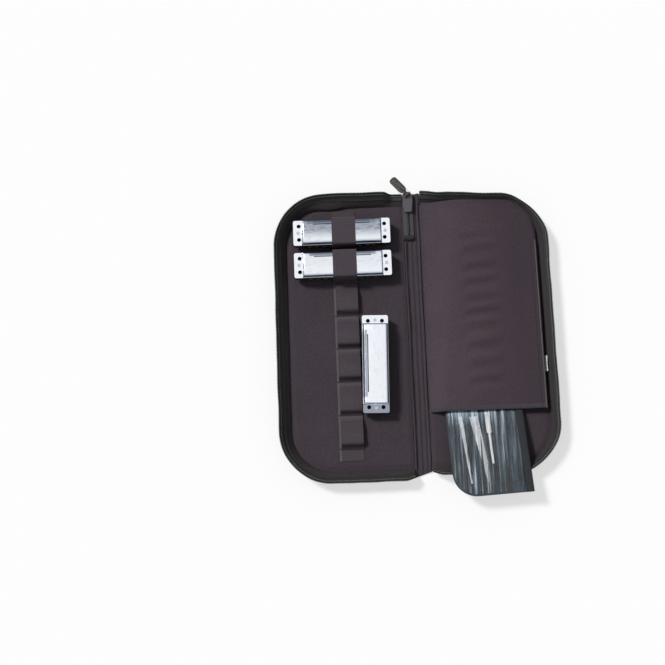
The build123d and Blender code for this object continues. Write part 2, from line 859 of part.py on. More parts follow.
def make_stepped_tool(across, down, widths):
    """Two rectangles end to end on the sketch that is being made, from the top down."""
    for width, (start, stop) in zip(widths, zip(down, down[1:])):
        with Locations(wallet_spot((across, (start + stop) / 2))):
            Rectangle(width, (stop - start) * wallet_length)


def make_screwdriver():
    with BuildPart() as driver:
        with BuildSketch(wallet_plane.offset(wallet_back + tool_gap)):
            widths = (driver_handle_width, driver_blade_width)
            make_stepped_tool(driver_across, driver_down, widths)
        extrude(amount=driver_thickness)
    save(driver, "tool_screwdriver")


def make_files():
    """Two flat files side by side, each with a narrower tang at its top."""
    with BuildPart() as files:
        with BuildSketch(wallet_plane.offset(wallet_back + tool_gap)):
            for across in file_across:
                make_stepped_tool(across, file_down, (file_tang_width, file_width))
        extrude(amount=file_thickness)
    save(files, "tool_files")


# ---- the whole case ------------------------------------------------------------------
make_half("left", -1, left_wall_top_end)
make_half("right", 1, wall_end)
make_strip()
make_loops()
make_stitch_bars()
make_harmonica("harmonica_1", held_harp_x, loop_middle(1), held_harp_z, 0)
make_harmonica("harmonica_2", held_harp_x, loop_middle(2), held_harp_z, 0)
make_harmonica("harmonica_3", loose_harp_x, loose_harp_y, loose_harp_z, 90 + loose_harp_turn)
make_pocket()
make_pocket_hem()
make_pocket_piping()
make_tag()
make_spine_panel()
make_spine_fold("left_spine_fold", -1, -spine_length / 2, tail_low - seam_gap)
make_spine_fold("right_spine_fold", 1, -spine_length / 2, spine_length / 2)
make_tail()
make_slider()
make_pull_tab()
make_wallet_back()
make_wallet_front()
make_wallet_binding()
make_flat_tool("tool_reamer", reamer_outline)
make_flat_tool("tool_scraper", scraper_outline)
make_screwdriver()
make_files()

print("closed thickness", spine_gap + 2 * fold_height)
print("wallet pitch in degrees", round(degrees(wallet_pitch), 2))
print("pull pivot", tail_x, pivot_y, round(pivot_z, 2), "axis", pull_across)
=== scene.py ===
import math

import bmesh
import bpy
import numpy as np
from mathutils import Matrix, Vector


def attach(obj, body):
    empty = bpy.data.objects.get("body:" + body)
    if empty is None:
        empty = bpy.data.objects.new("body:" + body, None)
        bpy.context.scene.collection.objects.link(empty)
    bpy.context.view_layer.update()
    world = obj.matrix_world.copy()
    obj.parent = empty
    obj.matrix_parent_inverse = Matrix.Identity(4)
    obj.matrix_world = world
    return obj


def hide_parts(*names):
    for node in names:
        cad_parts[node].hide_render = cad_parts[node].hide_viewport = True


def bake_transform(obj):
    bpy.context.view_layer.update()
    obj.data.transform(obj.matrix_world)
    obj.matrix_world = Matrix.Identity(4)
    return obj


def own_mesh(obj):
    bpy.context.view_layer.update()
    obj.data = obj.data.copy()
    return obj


# The looks of a soft zipped harmonica case that lies open.

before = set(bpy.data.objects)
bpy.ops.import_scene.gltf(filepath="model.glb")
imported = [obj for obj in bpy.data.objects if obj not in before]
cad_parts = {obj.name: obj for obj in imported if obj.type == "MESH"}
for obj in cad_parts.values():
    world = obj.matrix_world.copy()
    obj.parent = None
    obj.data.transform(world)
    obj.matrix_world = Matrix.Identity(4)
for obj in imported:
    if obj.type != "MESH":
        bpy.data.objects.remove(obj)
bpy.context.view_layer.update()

MM = 0.001
UP = np.array((0.0, 0.0, 1.0))

# ---- sizes: the model's, but the pocket's right edge lies further out, as in the photo ----
SPINE_EDGE = 9.0
FLOOR_EDGE = 134.0
HALF_LENGTH = 140.0
CORNER = 42.0
LINING_TOP = 5.2
WALL_FOOT = 3.1
WALL_SEAM = 11.0
RIM = 18.6
LEAN = 12.0
COIL_SPREAD = 12.45
TAPE_TOP = 17.3
SPINE_LOW, SPINE_HIGH = -143.5, 150.0
STRIP_X = -73.0
STRIP_HALF = 12.5
STRIP_TOP = 5.8
STRIP_LOW, STRIP_HIGH = -130.0, 136.0
LOOP_PITCH = 35.0
LOOP_TOP = 127.5
TAIL_X = -3.2
TAIL_HALF = 5.6
TAIL_LOW, TAIL_HIGH = 103.0, 150.0
POCKET_LEFT, POCKET_RIGHT = 10.0, 131.2
POCKET_MOUTH = -83.0
POCKET_CORNER = 40.0
POCKET_TOP = HALF_LENGTH + 6.2
POCKET_CORNER_X = FLOOR_EDGE - 4.0 - POCKET_CORNER


# ---- curves ----
def ease(t):
    """A smooth step from 0 to 1."""
    t = np.clip(t, 0.0, 1.0)
    return t * t * (3.0 - 2.0 * t)


def stepped(x, value, *steps):
    """A value that changes smoothly along x; each step is (start, length, change)."""
    for start, length, change in steps:
        value = value + change * ease((x - start) / length)
    return value


def waves(a, b, seed):
    """Smooth uneven waves between -1 and 1 over two coordinates in mm."""
    draws = np.random.default_rng(seed)
    lengths, strengths = (90.0, 61.0, 43.0, 29.0, 17.0), (1.0, 0.8, 0.6, 0.4, 0.25)
    total = 0.0
    for length, strength in zip(lengths, strengths):
        turn, phase = draws.uniform(0, math.tau, 2)
        along = a * math.cos(turn) + b * math.sin(turn)
        total = total + strength * np.sin(math.tau * along / length + phase)
    return total / sum(strengths)


def unit(vectors):
    """Vectors made one long."""
    return vectors / np.maximum(np.linalg.norm(vectors, axis=-1, keepdims=True), 1e-9)


def corner_rows(start, radius):
    """Places across a round corner, closer together towards its end."""
    return start + radius * np.sin(np.radians(np.linspace(6, 90, 15)))


def corner_reach(rows, start, radius):
    """How far sideways rows reach in a round corner that begins at start."""
    return np.sqrt(np.maximum(radius**2 - np.maximum(rows - start, 0.0) ** 2, 0.0))


def row_grid(left, right, rows, shares):
    """Plan points on rows, at shares of the way from left to right."""
    left, right = (np.broadcast_to(end, rows.shape)[:, None] for end in (left, right))
    return left + (right - left) * shares, np.repeat(rows[:, None], len(shares), axis=1)


def edge_distance(x, y, right, top, radius, cx=None):
    """How far points are inside a right and a top edge that meet in a round corner, whose middle
    is at cx or else a radius from the right edge."""
    cx, cy = right - radius if cx is None else cx, top - radius
    corner = radius - np.hypot(x - cx, y - cy)
    return np.where((x > cx) & (y > cy), corner, np.minimum(right - x, top - y))


def resample(path, step):
    """The path again with points evenly spaced, about step apart."""
    path = np.asarray(path, float)
    run = np.concatenate([[0], np.cumsum(np.linalg.norm(np.diff(path, axis=0), axis=1))])
    at = np.linspace(0, run[-1], max(2, round(run[-1] / step) + 1))
    return np.stack([np.interp(at, run, path[:, k]) for k in range(3)], axis=1)


# ---- mesh tools ----
def add_object(name, data):
    thing = bpy.data.objects.new(name, data)
    bpy.context.scene.collection.objects.link(thing)
    return thing


def make_mesh(name, skin, material, body, stands_for=(), sharp=50.0):
    """A smooth piece from points in mm and faces. It rides on a body and stands for model nodes."""
    points, faces = skin
    mesh = bpy.data.meshes.new(name)
    mesh.from_pydata((np.asarray(points, float) * MM).tolist(), [], faces)
    work = bmesh.new()
    work.from_mesh(mesh)
    bmesh.ops.remove_doubles(work, verts=work.verts, dist=1e-7)
    bmesh.ops.recalc_face_normals(work, faces=work.faces)
    work.to_mesh(mesh)
    work.free()
    mesh.shade_smooth()
    mesh.set_sharp_from_angle(angle=math.radians(sharp))
    mesh.materials.append(material)
    piece = add_object(name, mesh)
    if body:
        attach(piece, body)
    if stands_for:
        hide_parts(*stands_for)
    return piece


def sew(name, body, *seams):
    """Running stitches as one piece; each seam is (path, length, pitch, radius)."""
    skin = join([stitches(*seam) for seam in seams])
    make_mesh(name, skin, THREAD, body, sharp=180.0)


def paint(piece, material, chosen):
    """Give another material to the faces that are chosen by their centre in mm."""
    piece.data.materials.append(material)
    for face in piece.data.polygons:
        if chosen(np.array(face.center) / MM):
            face.material_index = 1


def ring_faces(count, size, closed=False):
    """Faces between rings of points that follow each other."""
    faces = []
    for i in range(count if closed else count - 1):
        a, b = i * size, (i + 1) % count * size
        for k in range(size):
            n = (k + 1) % size
            faces.append((a + k, b + k, b + n, a + n))
    return faces


def loft(rings):
    """Points and faces of a closed skin over rings, which are (count, size, 3)."""
    rings = np.asarray(rings, float)
    count, size = rings.shape[:2]
    ends = [tuple(range(size)), tuple(range((count - 1) * size, count * size))[::-1]]
    return rings.reshape(-1, 3), ring_faces(count, size) + ends


def join(parts):
    """Several (points, faces) as one."""
    points, faces, start = [], [], 0
    for p, f in parts:
        points.append(p)
        faces.extend(tuple(i + start for i in face) for face in f)
        start += len(p)
    return np.concatenate(points), faces


def shell(top, bottom):
    """A closed skin between two grids of points of one size."""
    top, bottom = np.asarray(top, float), np.asarray(bottom, float)
    rows, cols = top.shape[:2]
    n = rows * cols
    faces = []
    for i in range(rows - 1):
        for a in range(i * cols, i * cols + cols - 1):
            quad = (a, a + 1, a + cols + 1, a + cols)
            faces += [quad, tuple(n + k for k in quad[::-1])]
    index = np.arange(n).reshape(rows, cols)
    edge = np.concatenate([index[0], index[1:, -1], index[-1, -2::-1], index[-2:0:-1, 0]]).tolist()
    for a, b in zip(edge, edge[1:] + edge[:1]):
        faces.append((a, a + n, b + n, b))
    return np.concatenate([top.reshape(-1, 3), bottom.reshape(-1, 3)]), faces


def flat_shell(x, y, top, low):
    """A closed skin over plan points, between two heights."""
    return shell(np.dstack([x, y, top + 0 * x]), np.dstack([x, y, low + 0 * x]))


def grid_normals(grid):
    """Unit normals of a grid of points, on the side that faces up where it lies flat."""
    normal = unit(np.cross(np.gradient(grid, axis=0), np.gradient(grid, axis=1)))
    return -normal if normal[..., 2].sum() < 0 else normal


def cloth(grid, thickness):
    """A sheet of cloth whose upper face is the grid."""
    grid = np.asarray(grid, float)
    return shell(grid, grid - grid_normals(grid) * thickness)


def directions_across(path):
    """Two directions across a path, at each of its points, that don't twist along it."""
    tangent = unit(np.gradient(path, axis=0))
    side = np.cross(tangent[0], UP)
    if np.linalg.norm(side) < 0.1:
        side = np.cross(tangent[0], (0.0, 1.0, 0.0))
    across = []
    for t in tangent:
        side = unit(side - t * (side @ t))
        across.append(side)
    return np.array(across), np.cross(tangent, across)


def tube(path, radius, sides=10):
    """A round cord along a path; radius is one number or one for each point."""
    path = np.asarray(path, float)
    u, v = directions_across(path)
    angle = np.arange(sides) * math.tau / sides
    circle = np.cos(angle)[None, :, None] * u[:, None] + np.sin(angle)[None, :, None] * v[:, None]
    radius = np.broadcast_to(np.asarray(radius, float), (len(path),))
    return loft(path[:, None] + circle * radius[:, None, None])


def coil(path, radius, wire, pitch=1.5, turn_points=8):
    """The spiral of zipper teeth along a path."""
    path = resample(path, pitch / turn_points)
    u, v = directions_across(path)
    angle = np.arange(len(path)) * math.tau / turn_points
    line = path + radius * (np.cos(angle)[:, None] * u + np.sin(angle)[:, None] * v)
    return tube(line, wire, 4)


def stitches(path, length, pitch, radius):
    """A running stitch: short threads that end to end follow a path."""
    line = resample(path, pitch)
    parts = []
    for p, t in zip(line[1:-1], unit(np.gradient(line, axis=0))[1:-1]):
        side = unit(np.cross(t, UP))
        up = np.cross(side, t)
        rings = []
        for share, thick in ((-0.5, 0.25), (-0.34, 0.9), (0.0, 1.0), (0.34, 0.9), (0.5, 0.25)):
            centre = p + t * share * length - up * abs(share) * radius
            angles = [k * math.tau / 6 for k in range(6)]
            rings.append([centre + radius * thick * (math.cos(a) * side + math.sin(a) * up) for a in angles])
        parts.append(loft(rings))
    return join(parts)


# ---- node tools ----
def connect(node, inputs):
    """Set each input of a node to a constant, or link it to a value."""
    for key, value in inputs.items():
        if isinstance(value, Value):
            node.id_data.links.new(value.socket, node.inputs[key])
        else:
            node.inputs[key].default_value = value


def add_node(tree, kind, inputs, **settings):
    node = tree.nodes.new("ShaderNode" + kind)
    for key, setting in settings.items():
        setattr(node, key, setting)
    connect(node, inputs)
    return node


def add_bump(shader, height, depth):
    """Bumps as deep as depth, in mm."""
    bump = height.node("Bump", {"Height": height, "Strength": 1.0, "Distance": depth * MM})
    connect(shader, {"Normal": bump})


def start_material(name):
    material = bpy.data.materials.new(name)
    material.use_nodes = True
    coords = add_node(material.node_tree, "TexCoord", {}).outputs["Object"]
    return material, material.node_tree.nodes["Principled BSDF"], Value(coords)


def shade(colour, factor):
    return tuple(c * factor for c in colour)


class Value:
    """A node's output. What is worked out from it is a further node of the same tree."""

    def __init__(self, socket):
        self.socket = socket

    def node(self, kind, inputs, output=0, **settings):
        return Value(add_node(self.socket.id_data, kind, inputs, **settings).outputs[output])

    def calc(self, kind, other=0.0):
        return self.node("Math", {0: self, 1: other}, operation=kind)

    def __add__(self, other):
        return self.calc("ADD", other)

    def __mul__(self, other):
        return self.calc("MULTIPLY", other)

    def tinted(self, other):
        """A colour multiplied by a value or by another colour."""
        return self.node("VectorMath", {0: self, 1: other}, operation="MULTIPLY")

    def split(self):
        parts = add_node(self.socket.id_data, "SeparateXYZ", {"Vector": self}).outputs
        return [Value(part) for part in parts]

    def ranged(self, before, after):
        """The value moved from one range to another, and held there."""
        ends = {"From Min": before[0], "From Max": before[1], "To Min": after[0], "To Max": after[1]}
        return self.node("MapRange", {"Value": self, **ends})

    def faded(self, before, after):
        """A value that changes between two places, which are in mm."""
        return self.ranged((before[0] * MM, before[1] * MM), after)

    def ramp(self, *stops):
        """Colours at places along the value; each stop is (place, colour)."""
        ramp = add_node(self.socket.id_data, "ValToRGB", {"Fac": self})
        elements = ramp.color_ramp.elements
        while len(elements) < len(stops):
            elements.new(0.5)
        for element, (place, colour) in zip(elements, stops):
            element.position = place
            element.color = (*colour, 1.0)
        return Value(ramp.outputs["Color"])

    def speckle(self, colour, amount, low, high):
        """A colour that is darker where the value is low and lighter where it is high."""
        return self.ramp((low, shade(colour, 1.0 - amount)), (high, shade(colour, 1.0 + amount)))

    def noise(self, size, detail=2.0, stretch=None):
        """Noise over coordinates with grains of a size in mm, stretched if asked."""
        place = self.node("Mapping", {"Vector": self, "Scale": stretch}) if stretch else self
        return self.node("TexNoise", {"Vector": place, "Scale": 1.0 / (size * MM), "Detail": detail}, "Fac")

    def wave(self, direction, period):
        """Even bands across one direction of coordinates; the period is in mm."""
        inputs = {"Vector": self, "Scale": math.tau / 20.0 / (period * MM), "Distortion": 0.0}
        return self.node("TexWave", inputs, "Fac", bands_direction=direction)


# ---- materials ----
def woven(name, colour, thread, speckle, depth, roughness=0.92, sheen=0.0, shade_along_x=None):
    """Woven cloth: threads both ways, speckled yarn, and faint large patches. Painted shade along X,
    where it is asked for, gives two places along X in mm and how dark the second is beside the first."""
    material, shader, coords = start_material(name)
    yarn = coords.noise(1.4, 3.0)
    tone = (yarn * 0.75 + coords.noise(38.0) * 0.25).speckle(colour, speckle, 0.36, 0.64)
    # Painted shade along X.
    if shade_along_x:
        tone = tone.tinted(coords.split()[0].faded(shade_along_x[:2], (1.0, shade_along_x[2])))
    threads = coords.wave("X", thread) + coords.wave("Y", thread) + coords.wave("Z", thread)
    add_bump(shader, threads + yarn, depth)
    connect(shader, {"Base Color": tone, "Roughness": roughness, "Specular IOR Level": 0.25})
    connect(shader, {"Sheen Weight": sheen, "Sheen Roughness": 0.5})
    return material


def ribbed(name, colour, direction, period, depth, speckle=0.18, painted_shade=None, repeat=False):
    """Tape or elastic with even ribs in one direction and a finer cross thread. Painted shade, where it
    is asked for, gives tones at shares of a run along Y, from a place and over a length in mm; repeat starts
    the run again."""
    material, shader, coords = start_material(name)
    ribs = coords.wave(direction, period)
    cross = coords.wave({"X": "Y", "Y": "Z"}[direction], period * 0.6)
    yarn = coords.noise(1.1, 3.0)
    tone = (ribs * 0.3 + yarn * 0.7).speckle(colour, speckle, 0.3, 0.7)
    # Painted shade: tones along a run in Y multiply the cloth's colour.
    if painted_shade:
        start, length, shade_stops = painted_shade
        share = coords.split()[1]
        if repeat:
            share = share.calc("SUBTRACT", start * MM).calc("DIVIDE", length * MM).calc("FRACT")
        else:
            share = share.faded((start, start + length), (0.0, 1.0))
        tone = tone.tinted(share.ramp(*[(at, (grey,) * 3) for at, grey in shade_stops]))
    add_bump(shader, ribs + cross * 0.35 + yarn * 0.5, depth)
    connect(shader, {"Base Color": tone, "Roughness": 0.85, "Specular IOR Level": 0.3})
    return material


def metal(name, colour, roughness, spread, scratch=(1.0, 1.0, 1.0), depth=0.004, tint=0.06):
    """Metal with hair scratches, finger smears in its gloss, and a slight drift of tone."""
    material, shader, coords = start_material(name)
    smear = coords.noise(14.0, 3.0)
    tone = smear.ramp((0.3, shade(colour, 1.0 - tint)), (0.7, colour))
    gloss = smear.ranged((0.3, 0.7), (roughness, roughness + spread))
    add_bump(shader, coords.noise(0.9, 2.0, scratch), depth)
    connect(shader, {"Base Color": tone, "Roughness": gloss, "Metallic": 1.0})
    return material


def moulded(name, colour, roughness, grain, depth, speckle=0.12):
    """Plastic, vinyl, rubber or paint with a fine grain."""
    material, shader, coords = start_material(name)
    fine = coords.noise(grain, 3.0)
    tone = (fine * 0.4 + coords.noise(20.0) * 0.6).speckle(colour, speckle, 0.35, 0.65)
    add_bump(shader, fine, depth)
    connect(shader, {"Base Color": tone, "Roughness": roughness})
    return material


def clear_sheet(name, colour):
    """Clear vinyl: mostly see-through, with painted highlights and painted dark reflections in streaks
    along it, and the painted highlights bunched near the pocket."""
    material, shader, coords = start_material(name)
    x, y, _ = coords.split()
    fine = coords.noise(2.3, 2.0, (1.0, 0.022, 0.1))
    broad = coords.noise(8.0, 2.0, (1.0, 0.12, 0.3))
    # Painted highlight, bunched near the pocket's mouth.
    painted_mouth_highlight = y.faded((-101.0, -86.0), (0.0, 0.14)) * x.faded((66.0, 84.0), (1.0, 0.2))
    streaks = fine * 0.65 + broad * 0.35 + painted_mouth_highlight
    # Painted highlights where the streaks are high, painted dark reflections where they are low.
    painted_highlight = streaks.ranged((0.5, 0.7), (0.04, 0.52))
    dark = streaks.ranged((0.41, 0.48), (0.6, 0.0))
    stops = ((0.45, 0.015), (0.5, 0.2), (0.6, 0.7), (0.72, 1.9))
    tone = streaks.ramp(*[(at, shade(colour, factor)) for at, factor in stops])
    connect(shader, {"Base Color": tone, "Alpha": painted_highlight.calc("MAXIMUM", dark), "Roughness": 0.08})
    connect(shader, {"Specular IOR Level": 0.8, "Coat Weight": 0.6, "Coat Roughness": 0.05})
    return material


# The chrome's tones: BLUE_GREY is where painted reflection and smears grey it.
SILVER, BLUE_GREY = (0.86, 0.88, 0.93), (0.2, 0.23, 0.29)


def harmonica_chrome(name, place, turn, plate, shadow):
    """Pressed chrome, laid out in the harmonica's own frame: slightly domed across, with smears, and
    with painted reflection that greys it along its rebate and its long edges. plate is how grey the painted
    reflection on the end plate at -x is, and shadow how grey the painted reflection on the upper part of the
    body."""
    material, shader, coords = start_material(name)
    spot, turned = (place[0] * MM, place[1] * MM, 0.0), (0.0, 0.0, math.radians(turn))
    layout = {"Vector": coords, "Location": spot, "Rotation": turned}
    own = coords.node("Mapping", layout, vector_type="TEXTURE")
    along, across, _ = own.split()
    from_middle = along.calc("ABSOLUTE")
    body = from_middle.faded((41.5, 42.2), (1.0, 0.0))
    smear = own.noise(11.0, 4.0, (0.6, 1.6, 1.0))
    hazy = own.noise(2.2, 3.0, (0.35, 1.0, 1.0))
    # Painted reflection: the chrome is greyed over its rebate, along its long edges and over its upper part.
    rebate = across.faded((8.3, 8.8), (0.0, 1.0)) * from_middle.faded((33.5, 36.0), (1.0, 0.0))
    edge = across.faded((-13.0, -9.6), (0.75, 0.0))
    upper = across.faded((-7.5, 2.0), (0.12 * shadow, shadow)) * hazy.ranged((0.3, 0.65), (0.86, 1.06))
    stain = smear.ranged((0.42, 0.62), (0.0, 0.55)) * body * hazy.ranged((0.45, 0.7), (0.0, 0.3))
    greyness = (rebate * 0.7 + edge + upper) * body + stain
    # Painted reflection on the end plate at -x.
    if plate:
        greyness = greyness + along.faded((-42.6, -41.8), (plate, 0.0))
    tone = greyness.ramp((0.0, SILVER), (1.0, BLUE_GREY))
    gloss = smear.ranged((0.3, 0.7), (0.12, 0.24))
    dome = across * across * -7.0 * body
    scratches = own.noise(0.9, 2.0, (0.1, 1.0, 1.0)) * (0.004 * MM)
    add_bump(shader, dome + scratches, 1.0 / MM)
    connect(shader, {"Base Color": tone, "Roughness": gloss, "Metallic": 1.0})
    return material


# Painted shade: the zipper tape is darker towards its lower end than at its upper end, and each slack loop
# is dark at its stitched ends and lighter just below its upper end.
TAPE_PAINTED_SHADE = [(0.0, 0.36), (0.15, 0.6), (0.8, 0.68), (1.0, 1.0)]
TAPE_SHADE_RUN = (-155.0, 310.0, TAPE_PAINTED_SHADE)
LOOP_PAINTED_SHADE = [(0.0, 0.25), (0.06, 0.28), (0.15, 0.7), (0.4, 0.74)]
LOOP_PAINTED_SHADE += [(0.8, 0.6), (0.93, 0.95), (0.97, 0.85), (1.0, 0.2)]
LOOP_SHADE_RUN = (LOOP_TOP - 7 * LOOP_PITCH, LOOP_PITCH, LOOP_PAINTED_SHADE)

LINING = woven("lining_cloth", (0.045, 0.035, 0.044), 0.55, 0.16, 0.05, sheen=0.1)
# Painted shade: the pocket cloth is darker towards its right.
POCKET = woven("pocket_lining", (0.06, 0.043, 0.055), 0.55, 0.16, 0.05, sheen=0.1, shade_along_x=(35.0, 110.0, 0.68))
HEM = woven("hem_cloth", (0.05, 0.042, 0.055), 0.6, 0.2, 0.06, sheen=0.1)
SHELL = woven("shell_cloth", (0.118, 0.102, 0.112), 0.8, 0.4, 0.1)
# The gusset's colour is the lining's made darker: painted shade on the walls.
SHADED_GUSSET = woven("gusset_cloth", (0.036, 0.03, 0.033), 0.6, 0.22, 0.07)
SATIN = woven("label_satin", (0.78, 0.79, 0.8), 0.3, 0.04, 0.02, 0.6)
# Painted shade along the zipper tape, darker towards its lower end.
TAPE = ribbed("zipper_tape", (0.052, 0.056, 0.055), "Y", 0.9, 0.08, painted_shade=TAPE_SHADE_RUN)
SELVEDGE = woven("tape_edge", (0.085, 0.088, 0.086), 0.4, 0.25, 0.04, 0.8)
TAIL_TAPE = ribbed("tail_tape", (0.06, 0.058, 0.063), "Y", 0.9, 0.08)
ELASTIC = ribbed("elastic", (0.056, 0.044, 0.054), "Y", 1.1, 0.16, 0.3)
# Painted shade along each slack loop.
LOOP = ribbed("loop_elastic", (0.079, 0.062, 0.076), "Y", 1.1, 0.16, 0.3, painted_shade=LOOP_SHADE_RUN, repeat=True)
STRIP_EDGE = ribbed("strip_edge", (0.1, 0.086, 0.096), "Y", 1.1, 0.12, 0.2)
BINDING = ribbed("binding", (0.022, 0.024, 0.028), "X", 0.7, 0.06)
PIPING = woven("piping", (0.022, 0.021, 0.023), 0.7, 0.2, 0.06, 0.7)
EDGE_CORD = woven("edge_cord", (0.08, 0.078, 0.08), 0.6, 0.25, 0.05, 0.75)
THREAD = woven("thread", (0.055, 0.05, 0.054), 0.25, 0.2, 0.03, 0.7)
COIL = moulded("zipper_coil", (0.012, 0.012, 0.012), 0.4, 0.6, 0.01)
BRASS = metal("reed_brass", (0.2, 0.15, 0.08), 0.35, 0.1)
STEEL = metal("screw_steel", (0.5, 0.5, 0.52), 0.25, 0.1)
TOOL = metal("tool_steel", (0.8, 0.8, 0.8), 0.22, 0.15, (1.0, 0.1, 1.0), 0.008)
DARK_TOOL = metal("file_steel", (0.08, 0.1, 0.12), 0.3, 0.2, (1.0, 0.1, 1.0), 0.02, 0.3)
SLIDER = moulded("slider_paint", (0.06, 0.056, 0.07), 0.38, 1.2, 0.01)
COMB = moulded("comb_plastic", (0.014, 0.016, 0.018), 0.3, 0.8, 0.006)
RUBBER = moulded("pull_rubber", (0.03, 0.029, 0.027), 0.6, 0.5, 0.02)
GRIP = moulded("pull_grip", (0.09, 0.087, 0.078), 0.7, 1.6, 0.06, 0.45)
VINYL = moulded("wallet_vinyl", (0.018, 0.03, 0.042), 0.3, 2.0, 0.03, 0.5)
WELD = moulded("weld_vinyl", (0.014, 0.02, 0.028), 0.3, 2.0, 0.02, 0.4)
CLEAR = clear_sheet("clear_vinyl", (0.34, 0.42, 0.5))


# ---- the padded halves ----
def outline(top_end, low_end, step=3.0):
    """Points and outward normals on the right floor's edge, from its top end to its lower."""
    cx, cy = FLOOR_EDGE - CORNER, HALF_LENGTH - CORNER
    top = np.linspace(top_end, cx, max(2, round((cx - top_end) / step)))[:-1]
    flank = np.linspace(cy, -cy, round(2 * cy / step))[1:-1]
    low = np.linspace(cx, low_end, max(2, round((cx - low_end) / step)))[1:]
    spots = [(x, cy, 90) for x in top] + [(cx, cy, turn) for turn in np.linspace(90, 0, 19)]
    spots += [(cx, y, 0) for y in flank] + [(cx, -cy, turn) for turn in np.linspace(0, -90, 19)]
    x, y, turn = np.array(spots + [(x, -cy, -90) for x in low]).T
    normals = np.column_stack([np.cos(np.radians(turn)), np.sin(np.radians(turn))])
    return np.column_stack([x, y]) + CORNER * normals, normals


def end_shares(side, base):
    """How much of its height and of its spread the wall keeps along the outline: it sinks where it
    runs out at the spine, and stands steeper where the wallet and the corners pull it in."""
    x, y = base[:, 0], base[:, 1]
    if side < 0:
        top_height = stepped(x, 0.27, (SPINE_EDGE, 12.0, 0.06), (21.5, 8.0, 0.67))
        top_spread = 1.0
        low_height = stepped(x, 0.6, (SPINE_EDGE, 10.0, 0.4))
        low_spread = stepped(x, 0.75, (SPINE_EDGE, 10.0, 0.25))
        flank, pinch = 1.0, 0.0
    else:
        top_height = stepped(x, 0.8, (SPINE_EDGE, 12.0, 0.2))
        top_spread = stepped(x, 1.05, (SPINE_EDGE, 20.0, -0.25), (30.0, 60.0, -0.28))
        low_height = stepped(x, 0.4, (SPINE_EDGE, 12.0, 0.56), (70.0, 40.0, 0.04))
        low_spread = stepped(x, 0.3, (SPINE_EDGE, 12.0, 0.32), (60.0, 45.0, 0.1))
        flank, pinch = 0.6, np.where(y > 0, 0.26, 0.14)
    end = HALF_LENGTH - 1.0
    height = np.where(y > end, top_height, np.where(y < -end, low_height, 1.0))
    along = np.where(y > 0, top_spread, low_spread)
    spread = along + (flank - along) * ease((x - FLOOR_EDGE + CORNER) / CORNER)
    past_x, past_y = x - FLOOR_EDGE + CORNER, np.abs(y) - HALF_LENGTH + CORNER
    bent = (past_x > 0) & (past_y > 0)
    return height, spread - np.where(bent, pinch * np.sin(2 * np.arctan2(past_y, past_x)) ** 2, 0.0)


def wall_wave(points, share, seed):
    """How far the soft wall stands off its even lean, outward, in mm."""
    return ease(share) * (0.5 * waves(points[:, 0] * 1.4, points[:, 1] * 1.4, seed) - 0.3)


def wall_sag(side, points, seed):
    """How far the gusset bags inward at its middle, in mm."""
    x, y = points.T
    uneven = waves(x, y, seed + 40)
    if side > 0:
        return stepped(x, 0.5, (112.0, 22.0, 1.6)) + 0.4 * uneven
    return 4.2 * np.exp(-(((x - 88.0) / 17.0) ** 2)) * (y > 100.0) + 0.9 + 0.8 * uneven


def wall_line(side, height, outward, seed, sag=0.0):
    """A line round the wall at one nominal height, in mm."""
    base, normal = outline(SPINE_EDGE + 0.3, SPINE_EDGE + 0.3)
    share = (height - WALL_FOOT) / (RIM - WALL_FOOT)
    tall, wide = end_shares(side, base)
    out = share * LEAN * wide + outward + wall_wave(base, share, seed)
    out = out - sag * wall_sag(side, base, seed)
    xy = base + normal * out[:, None]
    z = WALL_FOOT + (height - WALL_FOOT) * tall
    return np.column_stack([side * xy[:, 0], xy[:, 1], z])


def wall_strip(side, heights, thickness, seed, bulge=0.0, sag=0.0):
    """A strip of the wall between heights."""
    low, high = heights[0], heights[-1]
    inner, outer = [], []
    for height in heights:
        arch = math.sin(math.pi * (height - low) / (high - low))
        inner.append(wall_line(side, height, bulge * arch, seed, sag * arch))
        outer.append(wall_line(side, height, bulge * arch + thickness, seed, sag * arch))
    return loft(np.stack(inner + outer[::-1], axis=1))


def floor_grid():
    """Plan points of the right floor, with their distance to its outer edge and its spine edge."""
    cx, cy = FLOOR_EDGE - CORNER, HALF_LENGTH - CORNER
    bend = corner_rows(cy, CORNER)
    rows = np.concatenate([-bend[::-1], np.linspace(-cy, cy, 50), bend])
    j = np.linspace(0, 1, 49)
    shares = 0.35 * j + 0.65 * (0.5 - 0.5 * np.cos(math.pi * j))
    x, y = row_grid(SPINE_EDGE, cx + corner_reach(np.abs(rows), cy, CORNER), rows, shares)
    edge = edge_distance(x, np.abs(y), FLOOR_EDGE, HALF_LENGTH, CORNER)
    return x, y, np.maximum(edge, 0.0), x - SPINE_EDGE


def make_floor(half, side, body):
    x, y, edge, spine = floor_grid()
    top = LINING_TOP - 0.14 + 0.13 * waves(x, y, 11 if side < 0 else 12)
    top -= 1.3 * (1.0 - ease(edge / 6.0)) + 1.1 * (1.0 - ease(spine / 4.0))
    low = 1.0 + 0.6 * (1.0 - ease(edge / 3.0))
    pull_in = np.where(spine < 1.0, 0.0, 0.25 * (1.0 - ease(edge / 3.0)))
    pad = flat_shell(side * (x - pull_in), y, top, low)
    inside = [f"{half}_lining", f"{half}_foam", f"{half}_board"]
    lining = make_mesh(f"{half}_lining_pad", pad, LINING, body, inside)
    under = 0.03 + 1.5 * (1.0 - ease(edge / 4.5)) + 0.25 * (1.0 - ease(spine / 3.0))
    under += 0.12 * (0.5 + 0.5 * waves(x, y, 31)) * ease(edge / 10.0)
    skin = flat_shell(side * x, y, under + 0.9, under)
    cover = make_mesh(f"{half}_cover_cloth", skin, SHELL, body, [f"{half}_cover"])


